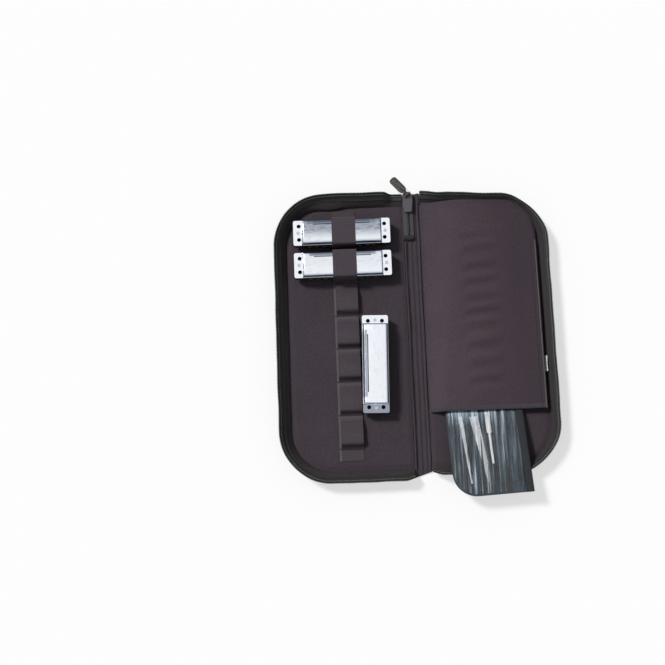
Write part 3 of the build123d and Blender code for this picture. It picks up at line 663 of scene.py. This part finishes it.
def make_walls(half, side, body):
    seed = 5 if side < 0 else 8

    def along(height, outward):
        return wall_line(side, height, outward, seed)

    strip = wall_strip(side, np.linspace(WALL_FOOT - 0.3, WALL_SEAM + 0.3, 10), 1.1, seed, sag=1.0)
    gusset = make_mesh(f"{half}_gusset_cloth", strip, SHADED_GUSSET, body, [f"{half}_gusset"])
    strip = wall_strip(side, np.linspace(WALL_SEAM - 0.8, TAPE_TOP + 0.9, 8), 0.8, seed, bulge=0.25)
    tape = make_mesh(f"{half}_tape_cloth", strip, TAPE, body, [f"{half}_zipper_tape"])
    seam = tube(resample(along(WALL_SEAM + 0.2, 0.1), 2.5), 0.75, 8)
    make_mesh(f"{half}_seam_ridge", seam, SHADED_GUSSET, body)
    edge = tube(resample(along(TAPE_TOP - 0.3, -0.05), 2.0), 0.6, 8)
    make_mesh(f"{half}_tape_edge", edge, SELVEDGE, body)
    rim = along(RIM, COIL_SPREAD - LEAN)
    teeth = join([coil(rim, 0.85, 0.34), tube(resample(rim, 2.5), 0.55, 6)])
    make_mesh(f"{half}_zipper_teeth", teeth, COIL, body, [f"{half}_zipper_coil"], 180.0)
    base, normal = outline(SPINE_EDGE + 1.3, SPINE_EDGE + 0.2)
    xy = base + normal * 1.6
    line = resample(np.column_stack([side * xy[:, 0], xy[:, 1], np.full(len(xy), 1.5)]), 2.0)
    cord = tube(line, 1.36 + 0.04 * np.sin(np.arange(len(line)) * 0.9), 12)
    make_mesh(f"{half}_piping_cord", cord, PIPING, body, [f"{half}_piping"])
    rows = [along(WALL_SEAM + 1.6, -0.12), along(TAPE_TOP - 1.5, -0.1)]
    sew(f"{half}_wall_stitches", body, *[(row, 2.0, 3.0, 0.2) for row in rows])


for make_part in (make_floor, make_walls):
    make_part("left", -1, "left_half")
    make_part("right", 1, "right_half")


# ---- spine ----
SPINE_HALF = 5.5
FOLD_START, FOLD_END = 5.45, 9.15


def slant(x, y):
    """Where a point of the spine lies along it: both ends are cut at a slant."""
    share = x / (FOLD_END + 0.05)
    low = 3.0 * (1.0 - share) * ease((-110.0 - y) / 33.5)
    return y - low + (3.9 + 0.4 * share) * ease((y - 138.0) / 12.0)


def make_spine(rows):
    x, y = np.meshgrid(np.linspace(-SPINE_HALF, SPINE_HALF, 23), rows)
    channel = 0.75 + 0.5 * np.cos(math.tau * (x + 1.6) / 5.2) + 0.15 * waves(x * 6, y, 3)
    z = 1.0 + ease((y - SPINE_LOW) / 5.0) * channel
    skin = cloth(np.dstack([x, slant(x, y), z]), 0.8)
    panel = make_mesh("spine_cloth", skin, LINING, "spine", ["spine_panel"])
    x, y = np.meshgrid(np.linspace(-SPINE_HALF, SPINE_HALF, 9), rows)
    under = flat_shell(x, slant(x, y), 0.85, 0.02)
    outer = make_mesh("spine_shell_cloth", under, SHELL, "spine")


def make_fold(side, rows):
    """The gathered fold beside the spine: a cloth ridge over a strip of the outer cloth."""
    name = "left" if side < 0 else "right"
    share, y = np.meshgrid(np.linspace(0.0, 1.0, 17), rows)
    tall = 3.3 + 0.35 * np.sin(y / 13.0) + 0.25 * np.sin(y / 5.3 + side)
    if side < 0:
        tall = np.where(y > TAIL_LOW - 2.0, 0.9, tall)
    tall = tall * (0.25 + 0.75 * ease((y - SPINE_LOW) / 12.0))
    arch = np.sin(math.pi * share)
    lean = 0.3 * np.sin(y / 17.0 + 2.0 * side) * arch
    wide = (3.75 + 0.9 * ease((y - 140.5) / 2.0)) * share
    x, sole_x = side * (FOLD_START + wide + lean), side * (FOLD_START + wide)
    top = np.dstack([x, slant(x, y), 1.0 + tall * np.maximum(arch, 0.0) ** 0.7])
    sole = np.dstack([sole_x, slant(sole_x, y), np.full_like(x, 0.02)])
    fold = make_mesh(
        f"{name}_fold_cloth", shell(top, sole), LINING, None, [f"{name}_spine_fold"]
    )
    paint(fold, SHELL, lambda spot: spot[2] < 0.1)
    if side < 0:
        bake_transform(fold)
    else:
        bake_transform(fold)


spine_rows = np.linspace(SPINE_LOW, SPINE_HIGH, 101)
make_spine(spine_rows)
make_fold(-1, spine_rows)
make_fold(1, spine_rows)


# ---- the strip of elastic loops ----
TIGHT_LOOPS = 2
BARE_EDGE = 2.2


def make_strip():
    xs = np.linspace(STRIP_X - STRIP_HALF, STRIP_X + STRIP_HALF, 13)
    x, y = np.meshgrid(xs, np.linspace(STRIP_LOW, STRIP_HIGH, 90))
    top = STRIP_TOP - 0.02 + 0.04 * waves(x * 3, y * 2, 21)
    skin = flat_shell(x, y, top, LINING_TOP - 0.25)
    strip = make_mesh("loop_strip_cloth", skin, ELASTIC, "left_half", ["loop_strip_backing"])
    bare_right, bare_top = STRIP_X - STRIP_HALF + BARE_EDGE, 57.0
    paint(strip, STRIP_EDGE, lambda spot: spot[0] < bare_right and spot[1] < bare_top)


def strap_rings(profile, left, sag=0.12, half_thickness=0.5):
    """An elastic band whose side view is a line of (y, z); it dips at its edges by sag, and starts
    at left across the strip."""
    line = resample(np.column_stack([np.zeros(len(profile)), profile]), 0.9)[:, 1:]
    tangent = unit(np.gradient(line, axis=0))
    normal = np.column_stack([-tangent[:, 1], tangent[:, 0]])
    across = np.linspace(left, STRIP_HALF, 9)
    rings = []
    for place, outward in zip(line, normal):
        ring = []
        for xs, half in ((across, half_thickness), (across[::-1], -half_thickness)):
            for x in xs:
                y, z = place + outward * (half - sag * (x / STRIP_HALF) ** 2)
                ring.append((STRIP_X + x, y, z))
        rings.append(ring)
    return rings


def rounded(points, radii):
    """A line through corners, each rounded to its radius, in a plane."""
    points = [np.array(p, float) for p in points]
    line = [points[0]]
    for a, b, c, radius in zip(points, points[1:], points[2:], radii):
        u, v = unit(a - b), unit(c - b)
        half = math.acos(max(-1.0, min(1.0, float(u @ v)))) / 2
        reach = radius / math.tan(half)
        centre = b + unit(u + v) * radius / math.sin(half)
        start, stop = b + u * reach - centre, b + v * reach - centre
        for t in np.linspace(0, 1, 9):
            line.append(centre + unit(start * (1 - t) + stop * t) * radius)
    line.append(points[-1])
    return np.array(line)


def loop_profile(number):
    """A loop's side view: high over a harmonica where one is in it, or else slack and low."""
    low = STRIP_TOP + 0.5
    if number <= TIGHT_LOOPS:
        top = low + 20.5
        corners = [(-16.8, low), (-15.2, low), (-14.3, top), (14.3, top), (15.2, low), (16.8, low)]
        radii = (0.7, 1.6, 1.6, 0.7)
    else:
        slack = (0.4, -0.3, 0.2, -0.4, 0.1)[number - 3]
        top = low + 5.2 + 0.4 * slack
        corners = [(-16.8, low), (-15.6, low), (-12.2 + slack, top)]
        corners += [(5.5, top - 0.9), (15.6, low), (16.8, low)]
        radii = (0.8, 3.0, 9.0, 4.0)
    middle = LOOP_TOP - (number - 0.5) * LOOP_PITCH
    return rounded([(middle + y, z) for y, z in corners], radii)


def make_loops():
    for number in range(1, 8):
        tight = number <= TIGHT_LOOPS
        left = -STRIP_HALF if tight else -STRIP_HALF + BARE_EDGE
        skin = loft(strap_rings(loop_profile(number), left))
        stuff = ELASTIC if tight else LOOP
        loop = make_mesh(f"loop_{number}_elastic", skin, stuff, "left_half", [f"loop_{number}"])
        if tight:
            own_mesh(loop)


def make_bar_tacks():
    """Dense zigzag seams across the strip, between the loops."""
    parts = []
    for line in range(8):
        y = LOOP_TOP - line * LOOP_PITCH
        for k, x in enumerate(np.arange(STRIP_X - 12.0, STRIP_X + 12.2, 0.62)):
            lean = 0.25 if k % 2 else -0.25
            path = [(x - lean, y - 0.6, STRIP_TOP + 0.35)]
            path += [(x, y, STRIP_TOP + 1.1), (x + lean, y + 0.6, STRIP_TOP + 0.35)]
            parts.append(tube(path, 0.24, 5))
    make_mesh("bar_tacks", join(parts), THREAD, "left_half", ["loop_stitch_bars"], 180.0)


make_strip()
make_loops()
make_bar_tacks()


# ---- pocket ----
# Places along Y and depths of the pocket's soft cross puckers.
PUCKERS = [(-68.0, 0.0), (-51.0, 1.4), (-33.5, 0.9), (-13.5, 1.5), (7.0, 1.0), (22.0, 1.7)]
PUCKERS += [(37.0, 0.85), (54.5, 1.35), (70.5, 1.35), (90.0, 1.0), (105.0, 0.75), (119.0, 0.0)]


def pocket_share(y):
    """How far a place is from the pocket's mouth towards the case's upper rim, from 0 to 1."""
    return (y - POCKET_MOUTH) / (HALF_LENGTH + LEAN - POCKET_MOUTH)


def pocket_height(y):
    return 9.6 + pocket_share(y) * (6.3 - 9.6)


def pocket_surface(x, y):
    """Height of the pocket's upper face: it rises to the right from the spine, drops at its edges,
    and has cross puckers in the middle and a groove beside the cord."""
    shoulder = 22.0 + pocket_share(y) * 30.0
    left = ease((x - POCKET_LEFT + 3.0) / (shoulder - POCKET_LEFT + 6.0))
    rise = 1.2 + (pocket_height(y) - 1.2) * left
    edge = edge_distance(x, y, POCKET_RIGHT, POCKET_TOP, POCKET_CORNER, POCKET_CORNER_X)
    rise = rise * (0.35 + 0.65 * np.sqrt(np.clip(edge / 3.4, 0.0, 1.0)))
    rise -= 0.25 * (0.5 + 0.5 * waves(x, y, 44)) * ease(edge / 8.0)
    places, depths = np.array(PUCKERS).T
    turn = math.tau * np.interp(y + 0.9 * np.sin(x / 7.0), places, np.arange(len(places)))
    width = ease((x - 48.0) / 8.0) * ease((90.0 - x) / 9.0)
    rise += width * np.interp(y, places, depths) * np.sin(turn)
    groove = np.exp(-(((x - POCKET_RIGHT + 5.2) / 1.2) ** 2))
    rise -= 0.9 * groove * ease((98.0 - y) / 4.0)
    return LINING_TOP + rise


def on_pocket(x, y, above):
    """Points a little above the pocket's face, with x or y one number for all."""
    x, y = np.broadcast_arrays(np.asarray(x, float), np.asarray(y, float))
    return np.column_stack([x, y, pocket_surface(x, y) + above])


def make_pocket():
    straight = POCKET_TOP - POCKET_CORNER
    lower = np.linspace(POCKET_MOUTH + 0.2, straight, 76)
    rows = np.concatenate([lower, corner_rows(straight, POCKET_CORNER)])
    right = POCKET_RIGHT - POCKET_CORNER + corner_reach(rows, straight, POCKET_CORNER)
    j = np.linspace(0, 1, 61)
    x, y = row_grid(POCKET_LEFT, right, rows, 0.4 * j + 0.6 * np.sin(j * math.pi / 2))
    skin = cloth(np.dstack([x, y, pocket_surface(x, y)]), 0.8)
    panel = make_mesh("pocket_cloth", skin, POCKET, "right_half", ["pocket_panel"])


def make_pocket_edges():
    """The hem round the mouth, the seams along the mouth and the spine, and the cord on the right."""
    hem_x = np.concatenate([np.linspace(POCKET_LEFT, 120.0, 56), np.linspace(121.0, POCKET_RIGHT - 0.1, 14)])
    path = [(4.6, 0.45), (3.6, 0.75), (2.4, 0.85), (1.2, 0.8), (0.3, 0.5), (-0.15, -0.15)]
    path += [(0.1, -0.8), (0.9, -1.15), (2.2, -1.2), (3.4, -1.2), (4.6, -1.15)]
    grid = []
    for x, y, z in on_pocket(hem_x, POCKET_MOUTH, 0.0):
        sway = 0.25 * float(waves(x, 0.0, 51))
        grid.append([(x, y + sway + u, z + v) for u, v in path])
    hem = make_mesh("pocket_hem_cloth", cloth(grid, 0.35), HEM, "right_half", ["pocket_hem"])
    mouth = on_pocket(np.linspace(POCKET_LEFT + 1.0, POCKET_RIGHT - 2.0, 80), POCKET_MOUTH, 0.85)
    mouth[:, 1] += 3.0
    side = on_pocket(POCKET_LEFT + 1.8, np.linspace(POCKET_MOUTH + 1.0, HALF_LENGTH - 2.0, 110), 0.1)
    sew("pocket_stitches", "right_half", (mouth, 2.0, 2.9, 0.2), (side, 2.0, 2.9, 0.2))
    y = np.linspace(POCKET_MOUTH, 96.0, 60)
    line = np.column_stack([np.full_like(y, POCKET_RIGHT - 2.3), y, LINING_TOP + pocket_height(y) + 0.45])
    make_mesh("pocket_edge_cord", tube(line, 0.85), EDGE_CORD, "right_half", ["pocket_piping"])


def make_label():
    """A folded tag of white satin that leans on the wall."""
    path = [(130.15, 6.3), (130.8, 7.3), (131.6, 8.6), (132.4, 9.9), (133.0, 10.9), (133.5, 11.3)]
    path += [(133.75, 11.0), (133.4, 10.1), (132.6, 8.8), (131.8, 7.5), (131.0, 6.3)]
    x, _, z = resample([(x, 0.0, z) for x, z in path], 0.6).T
    y = np.linspace(-44.5, -28.0, 20)[:, None]
    curl = 0.2 * np.sin(y / 2.7) * (z - 6.3) / 5.0
    skin = cloth(np.dstack(np.broadcast_arrays(x + curl, y, z)), 0.22)
    label = make_mesh("care_tag", skin, SATIN, "right_half", ["care_label"])


make_pocket()
make_pocket_edges()
make_label()


# ---- zipped tail and pull ----
def make_tail():
    xs = np.linspace(TAIL_X - TAIL_HALF, TAIL_X + TAIL_HALF, 17)
    x, y = np.meshgrid(xs, np.linspace(TAIL_LOW, TAIL_HIGH, 32))
    z = 4.36 - 0.5 * (np.abs(x - TAIL_X) / TAIL_HALF) ** 2 + 0.08 * waves(x * 4, y * 3, 61)
    skin = cloth(np.dstack([x, y, z]), 0.75)
    tape = make_mesh("tail_tape_cloth", skin, TAIL_TAPE, "spine", ["tail_tape"])
    line = [(TAIL_X, y, 5.4) for y in np.linspace(TAIL_LOW + 5.2, TAIL_HIGH, 40)]
    teeth = join([coil(line, 0.75, 0.3), tube(line, 0.45, 6)])
    make_mesh("tail_zipper_teeth", teeth, COIL, "spine", ["tail_coil"], 180.0)


def make_tail_end():
    """The folded tab over the tail's end, and the tail's seams."""
    sections = [(103.0, 3.0, 3.9, 5.0), (103.4, 2.4, 4.9, 5.5), (104.4, 2.2, 5.5, 5.7)]
    sections += [(106.6, 2.2, 5.55, 5.7), (107.6, 2.4, 5.0, 5.5), (108.0, 3.0, 4.0, 5.0)]
    rings = []
    for y, low, high, wide in sections:
        ring = []
        for angle in np.arange(24) * math.tau / 24:
            c, s = math.cos(angle), math.sin(angle)
            square = (abs(c) ** 5 + abs(s) ** 5) ** -0.2
            z = (low + high) / 2 + (high - low) / 2 * s * square
            ring.append((TAIL_X + wide * c * square, y, z))
        rings.append(ring)
    tab = make_mesh("tail_end_cloth", loft(rings), BINDING, "spine", ["tail_end_tab"])
    seams = []
    for y in (104.4, 106.6):
        seams.append(([(TAIL_X - 5.0, y, 5.55), (TAIL_X + 5.0, y, 5.55)], 1.4, 1.9, 0.16))
    for x in (TAIL_X - 4.6, TAIL_X + 4.6):
        seams.append(([(x, TAIL_LOW + 5.5, 4.05), (x, TAIL_HIGH - 1.0, 4.05)], 1.8, 2.6, 0.16))
    sew("tail_stitches", "spine", *seams)


PULL_TURN = math.radians(42.0)
PULL_ALONG = np.array((-math.sin(PULL_TURN), math.cos(PULL_TURN), 0.0))
PULL_ACROSS = np.array((math.cos(PULL_TURN), math.sin(PULL_TURN), 0.0))
PULL_PIVOT = np.array((TAIL_X, 151.5, 10.35))
PULL_HALF, PULL_LENGTH, PULL_BEND, PULL_NECK = 4.35, 24.3, 3.1, 1.55


def pull_point(u, v, z=0.0):
    """A point from the pull's own across, along and upward coordinates."""
    return PULL_PIVOT + PULL_ACROSS * u + PULL_ALONG * v + UP * z


def pull_outline():
    """The pull's plan, from its neck round its end and back."""
    right = [(PULL_NECK, 0.4), (PULL_NECK, 3.6), (2.6, 4.7), (3.6, 5.8), (4.15, 7.4), (PULL_HALF, 9.6)]
    right.append((PULL_HALF, PULL_LENGTH - PULL_BEND))
    for angle in np.radians(np.linspace(10, 80, 8)):
        u, v = PULL_BEND * math.cos(angle), PULL_BEND * math.sin(angle)
        right.append((PULL_HALF - PULL_BEND + u, PULL_LENGTH - PULL_BEND + v))
    return np.array(right + [(0.0, PULL_LENGTH)] + [(-u, v) for u, v in right[::-1]])


def inset(ring, amount):
    """The pull's plan moved inward."""
    along = unit(np.roll(ring, -1, axis=0) - np.roll(ring, 1, axis=0))
    normal = np.column_stack([along[:, 1], -along[:, 0]])
    outside = ((np.array((0.0, 13.0)) - ring) * normal).sum(1, keepdims=True) <= 0
    return ring + np.where(outside, -normal, normal) * amount


def make_pull():
    """The moulded pull: a rounded slab with a raised rim round its ribbed grip, on an eye that
    holds the slider's bar."""
    section = [(0.5, -0.78), (0.12, -0.6), (0.0, -0.3), (0.0, 0.3)]
    section += [(0.12, 0.6), (0.45, 0.78), (2.0, 0.78), (2.3, 0.42)]
    rings = []
    for amount, z in section:
        rings.append([pull_point(u, v, z) for u, v in inset(pull_outline(), amount)])
    eye = []
    angles = np.arange(20) * math.tau / 20
    for u, radius in ((-1.9, 1.9), (1.9, 1.9), (1.9, 1.05), (-1.9, 1.05)):
        eye += [pull_point(u, radius * math.cos(a), radius * math.sin(a)) for a in angles]
    parts = [loft(rings), (np.array(eye), ring_faces(4, 20, closed=True))]
    for v in np.arange(10.5, 20.5, 1.6):
        parts.append(tube([pull_point(u, v, 0.45) for u in (-1.6, -0.5, 0.5, 1.6)], 0.32, 6))
    pull = make_mesh("pull_tab_rubber", join(parts), RUBBER, "pull", ["pull_tab"], 40.0)

    def on_grip(spot):
        across, along, up = (spot - PULL_PIVOT) @ np.column_stack([PULL_ACROSS, PULL_ALONG, UP])
        return 0.2 < up < 0.76 and abs(across) < PULL_HALF - 1.9 and along > 6.0

    paint(pull, GRIP, on_grip)


make_tail()
make_tail_end()
make_pull()


# ---- tool wallet ----
WALLET_TURN = math.radians(3.0)
WALLET_PITCH = math.radians(9.388)
WALLET_BEND = 24.0
WALLET_WIDTH, WALLET_LENGTH = 72.2, 110.0
WALLET_ORIGIN = np.array((23.5, -64.0, 5.6))
WALLET_ACROSS = np.array((math.cos(WALLET_TURN), math.sin(WALLET_TURN), 0.0))
WALLET_FLOW = np.array((-math.sin(WALLET_TURN), math.cos(WALLET_TURN), 0.0))
WALLET_UP = WALLET_FLOW * math.sin(WALLET_PITCH) + UP * math.cos(WALLET_PITCH)
WALLET_IN = np.cross(WALLET_UP, WALLET_ACROSS)
HANG_HOLE, HANG_RADIUS = (35.2, 19.8), 2.4
WELD_WIDTH = 1.9


def wallet_points(u, v, w):
    """Points from the wallet's own across, outward and up coordinates."""
    u, v, w = (np.asarray(values, float)[..., None] for values in (u, v, w))
    return WALLET_ORIGIN + u * WALLET_ACROSS - v * WALLET_IN + w * WALLET_UP


def wallet_grid():
    """Across and outward places over the wallet, whose outer left corner is round, and their
    distance to its edges."""
    straight = WALLET_LENGTH - WALLET_BEND
    rows = np.concatenate([np.linspace(0, straight, 40), corner_rows(straight, WALLET_BEND)])
    left = WALLET_BEND - corner_reach(rows, straight, WALLET_BEND)
    u, v = row_grid(left, WALLET_WIDTH, rows, np.linspace(0, 1, 41))
    return u, v, np.minimum.reduce([u - left[:, None], WALLET_WIDTH - u, WALLET_LENGTH - v])


def punch(piece):
    """Cut the round hang hole through a sheet of the wallet."""
    cutter = bpy.data.meshes.new("cutter")
    work = bmesh.new()
    wide = {"radius1": HANG_RADIUS * MM, "radius2": HANG_RADIUS * MM}
    bmesh.ops.create_cone(work, cap_ends=True, segments=32, depth=12.0 * MM, **wide)
    work.to_mesh(cutter)
    work.free()
    tool = add_object("cutter", cutter)
    turn = Vector(WALLET_UP).to_track_quat("Z", "Y").to_matrix().to_4x4()
    tool.matrix_world = Matrix.Translation(Vector(wallet_points(*HANG_HOLE, 1.4)) * MM) @ turn
    cut = piece.modifiers.new("hole", "BOOLEAN")
    cut.operation, cut.solver, cut.object = "DIFFERENCE", "EXACT", tool
    graph = bpy.context.evaluated_depsgraph_get()
    mesh = bpy.data.meshes.new_from_object(piece.evaluated_get(graph))
    piece.modifiers.clear()
    piece.data = mesh
    bpy.data.objects.remove(tool)
    bpy.data.meshes.remove(cutter)


def on_weld(spot):
    """Whether a place is in the welded border of the wallet's front."""
    across, outward = (spot - WALLET_ORIGIN) @ WALLET_ACROSS, -((spot - WALLET_ORIGIN) @ WALLET_IN)
    return edge_distance(-across, outward, 0.0, WALLET_LENGTH, WALLET_BEND) < WELD_WIDTH


def make_wallet():
    u, v, edge = wallet_grid()
    skin = shell(wallet_points(u, v, 0.85), wallet_points(u, v, 0.05))
    back = make_mesh("wallet_back_vinyl", skin, VINYL, "wallet", ["wallet_back"])
    punch(back)
    lift = ease((edge - 1.5) / 5.0) * (1.15 + 0.55 * waves(u * 2.4, v * 0.7, 71))
    lift = np.where(v < 3.0, np.maximum(lift, 1.2), lift)
    from_hole = np.hypot(u - HANG_HOLE[0], v - HANG_HOLE[1])
    lift = lift * stepped(from_hole, 0.1, (3.2, 3.0, 0.9))
    top = 1.2 + np.clip(lift, 0.0, 1.75)
    skin = shell(wallet_points(u, v, top), wallet_points(u, v, top - 0.22))
    front = make_mesh("wallet_front_vinyl", skin, CLEAR, "wallet", ["wallet_front"])
    punch(front)
    paint(front, WELD, on_weld)


def make_binding():
    """The cloth tape that is folded over the wallet's right edge, and its seam."""
    path = [(72.0, 2.72), (74.5, 2.78), (77.5, 2.78), (79.3, 2.6), (79.95, 2.0), (80.0, 1.4)]
    path += [(79.95, 0.8), (79.3, 0.2), (77.5, 0.05), (74.5, 0.05), (72.0, 0.08)]
    path = resample([(a, 0.0, b) for a, b in path], 0.9)
    across, up = path[:, 0], path[:, 2]
    v = np.linspace(0.0, WALLET_LENGTH, 56)[:, None]
    press = 0.12 * np.sin(v / 3.1) * (up > 1.4) * (across < 79.0)
    fold = wallet_points(across, v, up + press)
    outward = grid_normals(fold)
    if (outward[:, 0] @ WALLET_UP).mean() < 0:
        outward = -outward
    skin = shell(fold, fold - outward * 0.45)
    binding = make_mesh("wallet_binding_cloth", skin, BINDING, "wallet", ["wallet_binding"])
    line = wallet_points(73.4, np.linspace(2.0, 108.0, 60), 2.82)
    sew("wallet_stitches", "wallet", (line, 1.8, 2.6, 0.16))


make_wallet()
make_binding()


# ---- finishes of the model's own pieces ----
def finish_node(name, material):
    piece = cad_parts[name]
    piece.data.materials.clear()
    piece.data.materials.append(material)
    return piece


# Each harmonica's place and turn, and how grey the painted reflection on its end plate and on its upper part
# is.
HARMONICAS = (
    ((-75.0, 110.0), 0.0, 0.0, 0.8),
    ((-75.0, 75.0), 0.0, 0.0, 0.14),
    ((-45.2, -31.8), 88.5, 0.85, 0.0),
)
for number, look in enumerate(HARMONICAS, 1):
    chrome = harmonica_chrome(f"cover_chrome_{number}", *look)
    parts = {"upper_cover": chrome, "lower_cover": chrome, "comb": COMB, "reed_plates": BRASS}
    for part, finish in {**parts, "screws": STEEL}.items():
        finish_node(f"harmonica_{number}_{part}", finish)
for tool, steel in (("reamer", TOOL), ("scraper", TOOL), ("screwdriver", TOOL), ("files", DARK_TOOL)):
    finish_node(f"tool_{tool}", steel)
rounding = finish_node("slider_body", SLIDER).modifiers.new("edge_rounding", "BEVEL")
rounding.width = 0.15 * MM
rounding.segments = 2
rounding.limit_method = "ANGLE"
rounding.angle_limit = math.radians(40)


# ---- floor, light and camera ----
WHITE = (1, 1, 1, 1)


def seen_straight(tree, *kinds):
    """1 for rays of the given kinds, and for those that come from the camera or through a sheet."""
    path = add_node(tree, "LightPath", {}).outputs
    seen = Value(path["Is Camera Ray"])
    for kind in (*kinds, "Is Transmission Ray"):
        seen = seen.calc("MAXIMUM", Value(path[kind]))
    return seen


def mix(share, first, second):
    return share.node("MixShader", {"Fac": share, 1: first, 2: second})


def make_stage():
    """A plain pale floor that keeps the shadow and glows a little where it is seen."""
    material, shader, coords = start_material("paper_floor")
    plain = {"Base Color": (0.93, 0.93, 0.93, 1), "Roughness": 0.95, "Specular IOR Level": 0.0}
    connect(shader, plain)
    glow = coords.node("Emission", {"Color": WHITE, "Strength": 1.0})
    tree = material.node_tree
    surface = mix(seen_straight(tree, "Is Glossy Ray") * 0.6, Value(shader.outputs["BSDF"]), glow)
    connect(tree.nodes["Material Output"], {"Surface": surface})
    mesh = bpy.data.meshes.new("floor")
    reach, z = 6.0, -0.0004
    corners = [(-reach, -reach, z), (reach, -reach, z), (reach, reach, z), (-reach, reach, z)]
    mesh.from_pydata(corners, [], [(0, 1, 2, 3)])
    mesh.materials.append(material)
    add_object("floor", mesh)


def make_world():
    """An even light, which reflections see as a softbox overhead and the camera sees as white."""
    world = bpy.data.worlds.new("studio")
    world.use_nodes = True
    bpy.context.scene.world = world
    tree = world.node_tree
    even = tree.nodes["Background"]
    connect(even, {"Color": (0.95, 0.97, 1.0, 1), "Strength": 0.36})
    direction = Value(add_node(tree, "TexCoord", {}).outputs["Generated"])
    blots = direction.noise(1000.0 / 2.6).calc("SUBTRACT", 0.5)
    sky = direction.split()[2] + blots * 0.4
    tone = sky.ramp((0.3, (0.2, 0.23, 0.28)), (0.55, (0.5, 0.55, 0.65)), (0.74, (0.98, 0.99, 1.0)))
    softbox = sky.node("Background", {"Color": tone, "Strength": 1.0})
    white = sky.node("Background", {"Color": WHITE, "Strength": 1.0})
    mirrored = Value(add_node(tree, "LightPath", {}).outputs["Is Glossy Ray"])
    shader = mix(mirrored, Value(even.outputs["Background"]), softbox)
    connect(tree.nodes["World Output"], {"Surface": mix(seen_straight(tree), shader, white)})


def make_key_light():
    lamp = bpy.data.lights.new("key", "SUN")
    lamp.energy = 2.9
    lamp.angle = math.radians(12)
    lamp.color = (1.0, 0.99, 0.97)
    key = add_object("key", lamp)
    key.rotation_mode = "QUATERNION"
    key.rotation_quaternion = Vector((-0.72, 0.5, 1.0)).to_track_quat("Z", "Y")


def make_camera():
    """A camera that sees the model's origin at its place in the photo, at the photo's scale."""
    elevation, roll = math.radians(79.5), math.radians(2.1)
    mm_per_px, distance, picture = 1.054, 1200.0, 665.0
    origin_px = (416.6, 335.3)
    turn = Matrix.Rotation(math.pi / 2 - elevation, 3, "X") @ Matrix.Rotation(-roll, 3, "Z")
    du, dv = (origin_px[0] - picture / 2) * mm_per_px, (picture / 2 - origin_px[1]) * mm_per_px
    data = bpy.data.cameras.new("camera")
    data.sensor_width = 36.0
    data.lens = data.sensor_width * distance / mm_per_px / picture
    data.clip_start, data.clip_end = 0.1, 50.0
    camera = add_object("camera", data)
    place = turn @ Vector((-du, -dv, distance)) * MM
    camera.matrix_world = Matrix.Translation(place) @ turn.to_4x4()
    bpy.context.scene.camera = camera


make_stage()
make_world()
make_key_light()
make_camera()
bpy.context.scene.view_settings.view_transform = "Standard"
